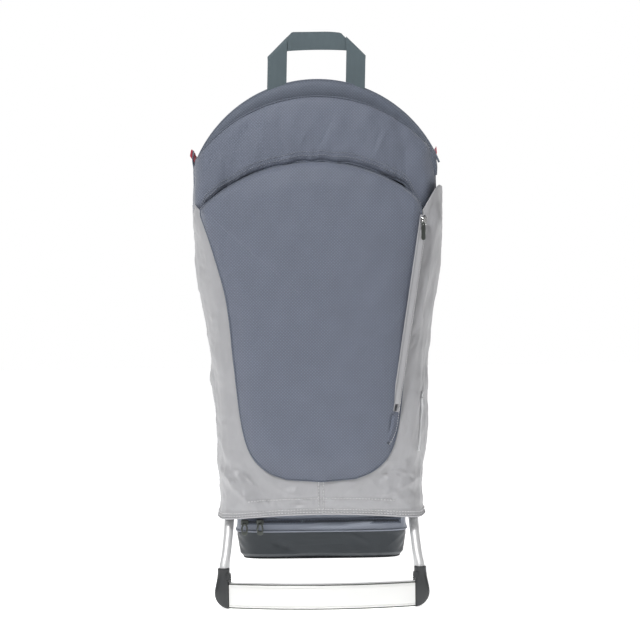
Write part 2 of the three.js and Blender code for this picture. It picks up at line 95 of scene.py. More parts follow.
def make_camera():
    handle_low, handle_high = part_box("grab_handle")
    plane_y = (handle_low.y + handle_high.y) / 2
    data = bpy.data.cameras.new("camera")
    data.sensor_width = SENSOR
    data.lens = SENSOR * CAMERA_DISTANCE / VIEW_HEIGHT
    data.clip_end = 50
    camera = bpy.data.objects.new("camera", data)
    camera.location = (0.0015, plane_y - CAMERA_DISTANCE, CAMERA_HEIGHT)
    camera.rotation_euler = (math.pi / 2, ROLL, 0)
    bpy.context.scene.collection.objects.link(camera)
    bpy.context.scene.camera = camera


def make_light(name, location, size, power, target=(0, 0, 0.38)):
    data = bpy.data.lights.new(name, "AREA")
    data.shape = "RECTANGLE"
    data.size, data.size_y = size
    data.energy = power
    light = bpy.data.objects.new(name, data)
    light.location = location
    aim = Vector(target) - Vector(location)
    light.rotation_euler = aim.to_track_quat("-Z", "Y").to_euler()
    bpy.context.scene.collection.objects.link(light)


def make_studio():
    scene = bpy.context.scene
    scene.view_settings.view_transform = "Standard"
    world = bpy.data.worlds.new("studio")
    scene.world = world
    world.use_nodes = True
    tree = world.node_tree
    background = tree.nodes["Background"]
    background.inputs["Color"].default_value = (1, 1, 1, 1)
    # white straight behind the carrier, dimmer all round it
    around = tree.nodes.new("ShaderNodeTexCoord")
    axes = tree.nodes.new("ShaderNodeSeparateXYZ")
    level = tree.nodes.new("ShaderNodeMapRange")
    level.inputs["From Min"].default_value = 0.70
    level.inputs["From Max"].default_value = 0.92
    level.inputs["To Min"].default_value = 0.17
    level.inputs["To Max"].default_value = 1.0
    tree.links.new(around.outputs["Generated"], axes.inputs[0])
    tree.links.new(axes.outputs[1], level.inputs["Value"])
    tree.links.new(level.outputs["Result"], background.inputs["Strength"])
    make_light("key", (-0.7, -1.8, 2.5), (0.6, 0.6), 58)
    make_light("fill", (1.6, -2.4, 0.9), (1.2, 1.6), 6)
    make_light("back_wash", (0, 2.4, 1.8), (2.6, 1.6), 14)
    floor_size = 30
    bm = bmesh.new()
    bmesh.ops.create_grid(bm, x_segments=2, y_segments=2, size=floor_size / 2)
    mesh = bpy.data.meshes.new("floor")
    bm.to_mesh(mesh)
    bm.free()
    floor = bpy.data.objects.new("floor", mesh)
    floor.location = (0, 0, -0.0005)
    scene.collection.objects.link(floor)
    pale = bpy.data.materials.new("floor_pale")
    pale.use_nodes = True
    shader = pale.node_tree.nodes["Principled BSDF"]
    shader.inputs["Base Color"].default_value = (0.86, 0.86, 0.86, 1)
    shader.inputs["Roughness"].default_value = 0.9
    shader.inputs["Emission Color"].default_value = (1, 1, 1, 1)
    # a lit floor behind and under the carrier, plain in front of it
    spot = pale.node_tree.nodes.new("ShaderNodeTexCoord")
    parts = pale.node_tree.nodes.new("ShaderNodeSeparateXYZ")
    glow = pale.node_tree.nodes.new("ShaderNodeMapRange")
    glow.inputs["From Min"].default_value = -0.9
    glow.inputs["From Max"].default_value = -0.3
    glow.inputs["To Min"].default_value = 0.0
    glow.inputs["To Max"].default_value = 0.86
    pale.node_tree.links.new(spot.outputs["Object"], parts.inputs[0])
    pale.node_tree.links.new(parts.outputs[1], glow.inputs["Value"])
    pale.node_tree.links.new(glow.outputs["Result"], shader.inputs["Emission Strength"])
    floor.data.materials.append(pale)


# ---- materials ----------------------------------------------------------------------------
class Tree:
    """A material's node tree, with short calls for the nodes used here."""

    def __init__(self, name, roughness=0.6, metallic=0.0):
        self.material = bpy.data.materials.new(name)
        self.material.use_nodes = True
        self.nodes = self.material.node_tree.nodes
        self.links = self.material.node_tree.links
        self.shader = self.nodes["Principled BSDF"]
        self.shader.inputs["Roughness"].default_value = roughness
        self.shader.inputs["Metallic"].default_value = metallic

    def feed(self, socket, value):
        if isinstance(value, bpy.types.NodeSocket):
            self.links.new(value, socket)
        else:
            socket.default_value = value

    def math(self, operation, a, b=0.0, c=0.0):
        node = self.nodes.new("ShaderNodeMath")
        node.operation = operation
        for socket, value in zip(node.inputs, (a, b, c)):
            self.feed(socket, value)
        return node.outputs[0]

    def coordinates(self):
        return self.nodes.new("ShaderNodeTexCoord")

    def split(self, vector):
        node = self.nodes.new("ShaderNodeSeparateXYZ")
        self.links.new(vector, node.inputs[0])
        return node.outputs

    def noise(self, scale, detail=2.0, vector=None, roughness=0.5):
        node = self.nodes.new("ShaderNodeTexNoise")
        node.inputs["Scale"].default_value = scale
        node.inputs["Detail"].default_value = detail
        node.inputs["Roughness"].default_value = roughness
        self.links.new(vector or self.coordinates().outputs["Object"], node.inputs["Vector"])
        return node.outputs["Fac"]

    def ramp(self, value, low, high):
        """value from low..high to 0..1, clamped."""
        node = self.nodes.new("ShaderNodeMapRange")
        self.feed(node.inputs["Value"], value)
        node.inputs["From Min"].default_value = low
        node.inputs["From Max"].default_value = high
        return node.outputs["Result"]

    def mix(self, factor, first, second):
        node = self.nodes.new("ShaderNodeMix")
        node.data_type = "RGBA"
        self.feed(node.inputs["Factor"], factor)
        for socket, colour in ((node.inputs[6], first), (node.inputs[7], second)):
            self.feed(socket, colour if isinstance(colour, bpy.types.NodeSocket) else (*colour, 1))
        return node.outputs[2]

    def bump(self, height, distance):
        node = self.nodes.new("ShaderNodeBump")
        node.inputs["Strength"].default_value = 1.0
        node.inputs["Distance"].default_value = distance
        self.links.new(height, node.inputs["Height"])
        self.links.new(node.outputs[0], self.shader.inputs["Normal"])

    def cloth_plane(self):
        """Two coordinates that lie in the surface, whichever way it mostly faces."""
        texture = self.coordinates()
        place = self.split(texture.outputs["Object"])
        normal = [self.math("ABSOLUTE", n) for n in self.split(texture.outputs["Normal"])]
        side = self.math("GREATER_THAN", normal[0], self.math("MAXIMUM", normal[1], normal[2]))
        top = self.math("GREATER_THAN", normal[2], self.math("MAXIMUM", normal[0], normal[1]))
        across = self.math("MULTIPLY_ADD", side, self.math("SUBTRACT", place[1], place[0]), place[0])
        along = self.math("MULTIPLY_ADD", top, self.math("SUBTRACT", place[1], place[2]), place[2])
        return across, along

    def wave(self, value, pitch):
        """A sine of the given pitch in metres, as 0..1."""
        sine = self.math("SINE", self.math("MULTIPLY", value, 2 * math.pi / pitch))
        return self.math("MULTIPLY_ADD", sine, 0.5, 0.5)


def shade(colour, factor):
    return tuple(min(1.0, c * factor) for c in colour)


def fabric(name, colour, pattern, pitch, contrast=0.14, bump=0.25, roughness=0.82, sheen=0.25,
           mottle=0.07, shine=0.3):
    """A woven cloth: pattern is dobby, plain, mesh or webbing; pitch is its repeat."""
    tree = Tree(name, roughness)
    across, along = tree.cloth_plane()
    if pattern == "dobby":
        rising = tree.wave(tree.math("ADD", across, along), pitch)
        falling = tree.wave(tree.math("SUBTRACT", across, along), pitch)
        weave = tree.math("MULTIPLY", rising, falling)
        yarn = tree.math("MULTIPLY", tree.wave(across, pitch / 5), tree.wave(along, pitch / 5))
        height = tree.math("MULTIPLY_ADD", yarn, 0.3, weave)
    elif pattern == "webbing":
        ribs = tree.wave(across, pitch)
        picks = tree.wave(tree.math("MULTIPLY_ADD", across, 0.5, along), pitch * 0.8)
        weave = tree.math("MULTIPLY", ribs, picks)
        height = weave
    elif pattern == "mesh":
        dots = tree.math("MULTIPLY", tree.wave(across, pitch), tree.wave(along, pitch))
        weave = tree.ramp(dots, 0.15, 0.6)
        height = weave
    else:
        weave = tree.math("MULTIPLY", tree.wave(across, pitch), tree.wave(along, pitch))
        height = weave
    patches = tree.ramp(tree.noise(22, 3), 0.3, 0.7)
    base = tree.mix(weave, shade(colour, 1 - contrast), shade(colour, 1 + contrast))
    worn = tree.mix(patches, shade((1, 1, 1), 1 - mottle), (1, 1, 1))
    blend = tree.nodes.new("ShaderNodeMix")
    blend.data_type = "RGBA"
    blend.blend_type = "MULTIPLY"
    blend.inputs["Factor"].default_value = 1.0
    tree.links.new(base, blend.inputs[6])
    tree.links.new(worn, blend.inputs[7])
    tree.links.new(blend.outputs[2], tree.shader.inputs["Base Color"])
    fuzz = tree.noise(900, 2)
    tree.bump(tree.math("MULTIPLY_ADD", fuzz, 0.35, height), bump * MM)
    tree.shader.inputs["Sheen Weight"].default_value = sheen
    tree.shader.inputs["Sheen Roughness"].default_value = 0.5
    tree.shader.inputs["Specular IOR Level"].default_value = shine
    return tree.material


def plastic(name, colour, roughness=0.45, grain=0.05):
    tree = Tree(name, roughness)
    marks = tree.noise(1500, 2)
    scuffs = tree.ramp(tree.noise(60, 6, roughness=0.7), 0.55, 0.75)
    tree.links.new(tree.mix(scuffs, colour, shade(colour, 1.25)), tree.shader.inputs["Base Color"])
    rough = tree.math("MULTIPLY_ADD", scuffs, 0.12, roughness)
    tree.links.new(rough, tree.shader.inputs["Roughness"])
    tree.bump(marks, grain * MM)
    return tree.material


def metal(name, colour, roughness, brushed=0.0, stretch=(1, 1, 1), metallic=1.0):
    """Anodised or plated metal, with fine lines drawn out along one axis."""
    tree = Tree(name, roughness, metallic)
    mapping = tree.nodes.new("ShaderNodeMapping")
    mapping.inputs["Scale"].default_value = stretch
    tree.links.new(tree.coordinates().outputs["Object"], mapping.inputs["Vector"])
    lines = tree.noise(700, 3, mapping.outputs[0])
    smudges = tree.noise(18, 3)
    tree.links.new(tree.mix(smudges, shade(colour, 0.93), colour), tree.shader.inputs["Base Color"])
    rough = tree.math("MULTIPLY_ADD", lines, brushed, roughness)
    tree.links.new(rough, tree.shader.inputs["Roughness"])
    tree.bump(lines, 0.01 * MM)
    return tree.material


M = {
    "slate": fabric("slate_dobby", (0.160, 0.182, 0.240), "dobby", 0.0042, contrast=0.20, bump=0.3,
                    roughness=0.6, shine=0.45),
    "slate_dark": fabric("slate_dobby_dark", (0.130, 0.152, 0.200), "dobby", 0.0042, contrast=0.20,
                         bump=0.3, roughness=0.6, shine=0.45),
    "grey": fabric("silver_grey_cloth", (0.42, 0.42, 0.436), "plain", 0.0011, contrast=0.05,
                   bump=0.06, roughness=0.40, sheen=0.1, mottle=0.06, shine=0.6),
    "grey_tape": fabric("silver_grey_binding", (0.50, 0.50, 0.52), "webbing", 0.0012, contrast=0.06,
                        bump=0.15, roughness=0.6),
    # the storage bag's slate cloth, painted lighter than the slate itself: painted light making up for the
    # shade the bag hangs in under the cover
    "bag_slate_painted_light": fabric("bag_slate_painted_light", (0.300, 0.330, 0.400), "plain", 0.0014, contrast=0.10, bump=0.12,
                        roughness=0.5, shine=0.6),
    "charcoal": fabric("charcoal_cloth", (0.018, 0.027, 0.036), "plain", 0.0014, contrast=0.2,
                       bump=0.12, roughness=0.5, shine=0.6),
    "mesh": fabric("spacer_mesh", (0.045, 0.055, 0.065), "mesh", 0.0032, contrast=0.4, bump=0.6,
                   roughness=0.95, sheen=0.4),
    "lining": fabric("inner_lining", (0.055, 0.066, 0.080), "plain", 0.0016, contrast=0.15,
                     roughness=0.9, sheen=0.4),
    "webbing": fabric("grey_webbing", (0.120, 0.158, 0.175), "webbing", 0.0016, contrast=0.22,
                      bump=0.3, roughness=0.75),
    "black_webbing": fabric("black_webbing", (0.018, 0.021, 0.025), "webbing", 0.0016, contrast=0.3,
                            bump=0.3, roughness=0.8),
    "red": fabric("red_lining", (0.52, 0.025, 0.055), "plain", 0.0014, contrast=0.15, roughness=0.8),
    # stitching thread paler than the slate: real stitches, their paleness a painted highlight for the light
    # dots of the weave above the yoke seam
    "yoke_thread_highlight": fabric("thread_painted_highlight", (0.34, 0.36, 0.41), "webbing", 0.0008, contrast=0.1),
    "grey_thread": fabric("grey_thread", (0.80, 0.80, 0.81), "webbing", 0.0008, contrast=0.1),
    "dark_thread": fabric("dark_thread", (0.030, 0.034, 0.045), "webbing", 0.0008, contrast=0.1),
    "reflective": fabric("reflective_piping", (0.78, 0.79, 0.80), "plain", 0.0009, contrast=0.05,
                         roughness=0.35),
    "black": plastic("black_plastic", (0.030, 0.032, 0.034), 0.42),
    "hinge": plastic("hinge_plastic", (0.038, 0.040, 0.042), 0.38),
    "zip": plastic("zip_coil", (0.022, 0.026, 0.032), 0.5),
    "red_plastic": plastic("red_button", (0.45, 0.02, 0.04), 0.35),
    "rubber": plastic("foot_rubber", (0.014, 0.014, 0.016), 0.8, grain=0.15),
    "tube": metal("anodised_tube", (0.80, 0.805, 0.81), 0.42, 0.10, (1, 1, 0.03), 0.45),
    "bar": metal("anodised_bar", (0.88, 0.88, 0.865), 0.45, 0.10, (0.03, 1, 1), 0.25),
    "steel": metal("nickel_plate", (0.70, 0.70, 0.69), 0.22),
    "gunmetal": metal("gunmetal", (0.13, 0.14, 0.13), 0.38),
}


# ---- mesh helpers -------------------------------------------------------------------------
def new_object(name, vertices, faces, material, smooth=True):
    mesh = bpy.data.meshes.new(name)
    mesh.from_pydata([tuple(v) for v in vertices], [], faces)
    mesh.validate()
    bm = bmesh.new()
    bm.from_mesh(mesh)
    bmesh.ops.recalc_face_normals(bm, faces=bm.faces)
    bm.to_mesh(mesh)
    bm.free()
    for polygon in mesh.polygons:
        polygon.use_smooth = smooth
    mesh.materials.append(M[material])
    obj = bpy.data.objects.new(name, mesh)
    bpy.context.scene.collection.objects.link(obj)
    return obj


def place(obj, body=ROOT, slot=None, replaces=()):
    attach(obj, body)
    if replaces:
        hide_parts(*replaces)
    return obj


def apply_modifiers(obj):
    graph = bpy.context.evaluated_depsgraph_get()
    mesh = bpy.data.meshes.new_from_object(obj.evaluated_get(graph))
    obj.modifiers.clear()
    obj.data = mesh
    return obj


def grid_faces(rows, columns, wrap=False):
    """Quads over rows of points; wrap closes each row on itself."""
    last = columns if wrap else columns - 1
    return [
        (i * columns + j, i * columns + (j + 1) % columns,
         (i + 1) * columns + (j + 1) % columns, (i + 1) * columns + j)
        for i in range(rows - 1) for j in range(last)
    ]


def sheet_object(name, grid, material, thickness, offset=-1.0):
    """A sheet through a grid of points, grid[row][column], given a thickness."""
    grid = np.asarray(grid, float)
    rows, columns = grid.shape[:2]
    obj = new_object(name, grid.reshape(-1, 3), grid_faces(rows, columns), material)
    solidify = obj.modifiers.new("thickness", "SOLIDIFY")
    solidify.thickness = thickness
    solidify.offset = offset
    return apply_modifiers(obj)


def resample(points, spacing):
    """The same path with points an even distance apart."""
    points = np.asarray(points, float)
    lengths = np.r_[0, np.cumsum(np.linalg.norm(np.diff(points, axis=0), axis=1))]
    count = max(2, int(round(lengths[-1] / spacing)) + 1)
    at = np.linspace(0, lengths[-1], count)
    return np.stack([np.interp(at, lengths, points[:, k]) for k in range(3)], 1)


def tangents(points):
    t = np.gradient(np.asarray(points, float), axis=0)
    return t / np.linalg.norm(t, axis=1)[:, None]


def unit(v):
    v = np.asarray(v, float)
    return v / np.maximum(np.linalg.norm(v, axis=-1, keepdims=True), 1e-12)


def smooth_path(points, spacing=0.003):
    """A Catmull-Rom curve through listed points."""
    p = np.asarray(points, float)
    p = np.vstack([2 * p[0] - p[1], p, 2 * p[-1] - p[-2]])
    out = []
    for a, b, c, d in zip(p[:-3], p[1:-2], p[2:-1], p[3:]):
        for t in np.linspace(0, 1, 16, endpoint=False):
            out.append(0.5 * (2 * b + (c - a) * t + (2 * a - 5 * b + 4 * c - d) * t ** 2
                              + (3 * b - a - 3 * c + d) * t ** 3))
    out.append(p[-2])
    return resample(out, spacing)


def squared(value, power):
    """A sine or cosine raised to a power with its sign kept: near 0 is boxy, 1 is round."""
    return math.copysign(abs(value) ** power, value)


def closed_loft(name, rings, material):
    """Closed rings of points joined into one body with an end face at each end."""
    count = len(rings[0])
    faces = grid_faces(len(rings), count, wrap=True)
    faces.append(tuple(reversed(range(count))))
    faces.append(tuple(range((len(rings) - 1) * count, len(rings) * count)))
    return new_object(name, np.concatenate(rings), faces, material)


def sweep(name, path, across, section, material):
    """A closed section carried along a path. across(i) is the section's width direction;
    section(s) gives [(width, depth), ...] at s = 0..1 along the path."""
    path = np.asarray(path, float)
    forward = tangents(path)
    rings = []
    for i, (point, t) in enumerate(zip(path, forward)):
        w = np.asarray(across(i) if callable(across) else across, float)
        w = unit(w - t * np.dot(w, t))
        d = np.cross(t, w)
        rings.append([point + w * a + d * b for a, b in section(i / (len(path) - 1))])
    return closed_loft(name, rings, material)


def round_section(radius, sides=8):
    ring = [(radius * math.cos(a), radius * math.sin(a))
            for a in np.linspace(0, 2 * math.pi, sides, endpoint=False)]
    return lambda s: ring


def band_section(width, thickness, power=0.35, count=20):
    """A flat band with soft edges; power near 0 is boxy, 1 is elliptical."""
    ring = []
    for a in np.linspace(0, 2 * math.pi, count, endpoint=False):
        ring.append((squared(math.cos(a), power) * width / 2, squared(math.sin(a), power) * thickness / 2))
    return lambda s: ring


def piping(name, path, radius, material, body=ROOT, slot=None):
    obj = sweep(name, path, (0.13, 0.27, 0.95), round_section(radius), material)
    return place(obj, body, slot)


def stitching(name, path, normal, material, body=ROOT, slot=None, pitch=0.0034, length=0.0023,
              radius=0.00038):
    """A run of separate stitches along a path, each a small rounded bar that dips at its ends."""
    points = resample(path, pitch)
    forward = tangents(points)
    vertices, faces = [], []
    for i, (point, t) in enumerate(zip(points, forward)):
        n = np.asarray(normal(i, point) if callable(normal) else normal, float)
        n = unit(n - t * np.dot(n, t))
        side = np.cross(t, n)
        start = len(vertices)
        for along, size in ((-0.5, 0.35), (-0.25, 1.0), (0.25, 1.0), (0.5, 0.35)):
            centre = point + t * along * length + n * radius * (0.6 if abs(along) < 0.3 else -0.4)
            for a in np.linspace(0, 2 * math.pi, 5, endpoint=False):
                vertices.append(centre + (side * math.cos(a) + n * math.sin(a)) * radius * size)
        faces += [tuple(start + k for k in face) for face in grid_faces(4, 5, wrap=True)]
        faces.append(tuple(start + k for k in (4, 3, 2, 1, 0)))
        faces.append(tuple(start + 15 + k for k in range(5)))
    obj = new_object(name, vertices, faces, material)
    return place(obj, body, slot)


# ---- reading the CAD shapes ---------------------------------------------------------------
def tree_of(*names):
    vertices, faces = [], []
    for name in names:
        mesh = NODES[name].data
        start = len(vertices)
        vertices += [v.co.copy() for v in mesh.vertices]
        faces += [tuple(start + k for k in p.vertices) for p in mesh.polygons]
    return BVHTree.FromPolygons(vertices, faces)


COVER_TREE = tree_of("outer_cover")
COVER_LOW, COVER_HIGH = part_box("outer_cover")


def cover_point(angle, z):
    """The cover's outer surface at a height, in a direction: 0 is the front, +-pi/2 the sides."""
    inside_z = min(max(z, COVER_LOW.z + 0.001), COVER_HIGH.z - 0.001)
    centre = Vector((0, -0.07, inside_z))
    direction = Vector((math.sin(angle), -math.cos(angle), 0))
    hit = COVER_TREE.ray_cast(centre + direction, -direction, 1.0)[0]
    return None if hit is None else np.array((hit.x, hit.y, z))


def arc_height(arc, x):
    return arc["centre"] + np.sqrt(arc["radius"] ** 2 - np.asarray(x, float) ** 2)


def hash_noise(x, y, seed=0.0):
    """Smooth repeatable unevenness in about -1..1."""
    return (np.sin(x * 3.1 + 1.7 * np.sin(y * 2.3 + seed)) * np.cos(y * 2.7 + 1.3 * np.sin(x * 1.9 - seed))
            + 0.5 * np.sin(x * 7.3 - y * 5.1 + seed * 2.0)) / 1.5


def ridge(distance, width):
    """A soft fold: 1 on its crest, falling off over its width."""
    return np.exp(-(distance / width) ** 2)


# ---- cloth simulation for the padded pieces -----------------------------------------------
PAD_PRESSURE = 4.0
PAD_FRAMES = 20


def inflate(obj, voxel, cap, shrink):
    """Remeshes a pad and lets cloth pressure crown it, each point moving no further than cap."""
    bpy.context.view_layer.objects.active = obj
    remesh = obj.modifiers.new("remesh", "REMESH")
    remesh.mode = "VOXEL"
    remesh.voxel_size = voxel
    remesh.use_smooth_shade = True
    apply_modifiers(obj)
    start = np.array([v.co[:] for v in obj.data.vertices])
    normals = np.array([v.normal[:] for v in obj.data.vertices])
    start = start - normals * shrink
    obj.data.vertices.foreach_set("co", start.ravel())
    cloth = obj.modifiers.new("cloth", "CLOTH")
    settings = cloth.settings
    settings.use_pressure = True
    settings.uniform_pressure_force = PAD_PRESSURE
    settings.effector_weights.gravity = 0
    settings.quality = 5
    settings.tension_stiffness = settings.compression_stiffness = 15
    settings.bending_stiffness = 0.5
    cloth.point_cache.frame_end = PAD_FRAMES
    scene = bpy.context.scene
    for step in range(1, PAD_FRAMES + 1):
        scene.frame_set(step)
    apply_modifiers(obj)
    scene.frame_set(1)
    moved = np.array([v.co[:] for v in obj.data.vertices])
    delta = moved - start
    length = np.linalg.norm(delta, axis=1, keepdims=True)
    delta *= np.minimum(1, cap / np.maximum(length, 1e-9))
    obj.data.vertices.foreach_set("co", (start + delta).ravel())
    smooth = obj.modifiers.new("even", "SMOOTH")
    smooth.iterations = 3
    obj.modifiers.new("fine", "SUBSURF").render_levels = 1
    obj.modifiers["fine"].levels = 1
    return apply_modifiers(obj)


def copy_of(node, name, material):
    mesh = NODES[node].data.copy()
    mesh.name = name
    mesh.materials.clear()
    mesh.materials.append(M[material])
    obj = bpy.data.objects.new(name, mesh)
    bpy.context.scene.collection.objects.link(obj)
    for polygon in mesh.polygons:
        polygon.use_smooth = True
    return obj


def groove(obj, distance, depth, width, direction):
    """Presses a sewn channel into a mesh. distance(points) is how far each is from its line."""
    mesh = obj.data
    points = np.array([v.co[:] for v in mesh.vertices])
    normals = np.array([v.normal[:] for v in mesh.vertices])
    amount = depth * ridge(distance(points), width)
    facing = np.clip(normals @ np.asarray(direction, float), 0, 1)
    points -= np.asarray(direction, float) * (amount * facing)[:, None]
    mesh.vertices.foreach_set("co", points.ravel())
    mesh.update()


def turned(name, profile, origin, axis, material, sides=40):
    """A turned piece: profile is [(along, radius), ...] from the origin along an axis."""
    forward = Vector(axis).normalized()
    basis = forward.to_track_quat("Z", "Y").to_matrix()
    vertices, faces = [], []
    for along, radius in profile:
        for a in np.linspace(0, 2 * math.pi, sides, endpoint=False):
            local = Vector((radius * math.cos(a), radius * math.sin(a), along))
            vertices.append(Vector(origin) + basis @ local)
    faces += grid_faces(len(profile), sides, wrap=True)
    faces.append(tuple(reversed(range(sides))))
    faces.append(tuple(range((len(profile) - 1) * sides, len(profile) * sides)))
    return new_object(name, vertices, faces, material)


def cut_out(name, outline, low, high, material, bevel):
    """An outline drawn in the x-z plane, made solid between two depths, edges eased."""
    vertices = [(a, depth, b) for depth in (low, high) for a, b in outline]
    n = len(outline)
    faces = grid_faces(2, n, wrap=True) + [tuple(range(n)), tuple(range(n, 2 * n))]
    obj = new_object(name, vertices, faces, material)
    edge = obj.modifiers.new("ease", "BEVEL")
    edge.width, edge.segments, edge.limit_method = bevel, 3, "ANGLE"
    edge.angle_limit = math.radians(40)
    edge.harden_normals = True
    return apply_modifiers(obj)


def rounded(width, height, radius, centre=(0, 0), count=6):
    """A rectangle with round corners, as (a, b) points."""
    points = []
    for quarter, (sx, sz) in enumerate(((1, 1), (-1, 1), (-1, -1), (1, -1))):
        for t in np.linspace(0, math.pi / 2, count):
            a = quarter * math.pi / 2 + t
            points.append((centre[0] + sx * (width / 2 - radius) + radius * math.cos(a),
                           centre[1] + sz * (height / 2 - radius) + radius * math.sin(a)))
    return points


# ---- fabric cover -------------------------------------------------------------------------
HEM_TOP = COVER_LOW.z + 0.014
SKIRT_LINE_Z = 0.147  # the stitched line between the hem and the pocket panel
COVER_COLUMNS, COVER_ROWS = 220, 170


def cover_row(z):
    """Points round the cover at one height, evenly spaced from its left rear to its right rear."""
    hits = [cover_point(a, z) for a in np.linspace(-2.15, 2.15, 240)]
    hits = np.array([h for h in hits if h is not None])
    steps = np.r_[0, np.cumsum(np.linalg.norm(np.diff(hits, axis=0), axis=1))]
    at = np.linspace(0, steps[-1], COVER_COLUMNS)
    return np.stack([np.interp(at, steps, hits[:, k]) for k in range(3)], 1)


def panel_reach(x, z):
    """How far out a point lies from the pocket panel's middle: below 1 is under the panel."""
    border = pocket_border()
    middle = 0.40
    turn = np.arctan2(border[:, 0], border[:, 2] - middle)
    order = np.argsort(turn)
    size = np.hypot(border[:, 0], border[:, 2] - middle)
    edge = np.interp(np.arctan2(x, z - middle), turn[order], size[order], period=2 * math.pi)
    return np.hypot(x, z - middle) / edge


def cover_top(x):
    """The height of the cover's upper edge: it climbs outside the head panel at both sides."""
    right = np.clip((x - 0.138) / 0.026, 0, 1)
    left = np.clip((-x - 0.154) / 0.012, 0, 1)
    return 0.5275 + 0.040 * right + 0.018 * left


def fold_line(x, z, start, end):
    """How far points are from a fold's line on the cover's face, and how far along it they are."""
    start, end = np.array(start), np.array(end)
    run = end - start
    length = np.linalg.norm(run)
    run /= length
    dx, dz = x - start[0], z - start[1]
    along = (dx * run[0] + dz * run[1]) / length
    off = -dx * run[1] + dz * run[0]
    outside = np.maximum(0, np.maximum(-along, along - 1)) * length
    return np.hypot(off, outside * 0.7), along


# start, end, width, height of the folds that the hem and the stretched sides raise
COVER_FOLDS = [
    ((-0.128, 0.178), (-0.080, 0.126), 0.0065, 0.0050),
    ((-0.112, 0.186), (-0.058, 0.134), 0.0055, -0.0035),
    ((-0.098, 0.170), (-0.050, 0.138), 0.0060, 0.0032),
    ((-0.136, 0.230), (-0.100, 0.150), 0.0090, 0.0040),
    ((-0.134, 0.330), (-0.118, 0.200), 0.0100, 0.0035),
    ((-0.146, 0.500), (-0.128, 0.330), 0.0090, 0.0030),
    ((0.132, 0.170), (0.086, 0.150), 0.0070, 0.0036),
    ((0.118, 0.198), (0.060, 0.160), 0.0080, -0.0028),
    ((0.138, 0.300), (0.112, 0.190), 0.0100, 0.0036),
    ((0.158, 0.500), (0.132, 0.380), 0.0100, 0.0032),
    ((0.150, 0.420), (0.128, 0.290), 0.0080, -0.0028),
    ((0.040, 0.160), (0.012, 0.140), 0.0060, 0.0022),
    ((-0.046, 0.158), (-0.014, 0.140), 0.0060, 0.0022),
]


def creases(x, z, count, x_range, z_range, lengths, angles, height, seed):
    """Many small sharp creases at repeatable places, their directions within a range of angles."""
    rng = np.random.default_rng(seed)
    total = np.zeros_like(x)
    for _ in range(count):
        cx, cz = rng.uniform(*x_range), rng.uniform(*z_range)
        length, angle = rng.uniform(*lengths), rng.uniform(*angles)
        dx, dz = math.cos(angle) * length / 2, math.sin(angle) * length / 2
        distance, along = fold_line(x, z, (cx - dx, cz - dz), (cx + dx, cz + dz))
        fade = np.exp(-((along - 0.5) / 0.42) ** 2)
        size = height * rng.uniform(0.3, 1.0) * rng.choice((-1, 1))
        total += size * np.exp(-np.abs(distance) / rng.uniform(0.0018, 0.0045)) * fade
    return total


# count, x range, z range, lengths, angles, height and seed of the creases seen from the front
COVER_CREASES = [
    (34, (-0.150, -0.050), (0.125, 0.190), (0.020, 0.060), (-1.1, -0.5), 0.0042, 3),
    (26, (0.050, 0.150), (0.125, 0.200), (0.020, 0.060), (2.3, 3.0), 0.0038, 5),
    (18, (-0.09, 0.09), (0.135, 0.165), (0.015, 0.050), (-0.3, 0.3), 0.0022, 8),
    (34, (-0.165, -0.105), (0.19, 0.53), (0.030, 0.090), (1.3, 1.9), 0.0034, 11),
    (34, (0.105, 0.165), (0.19, 0.55), (0.030, 0.090), (1.2, 1.8), 0.0034, 13),
]


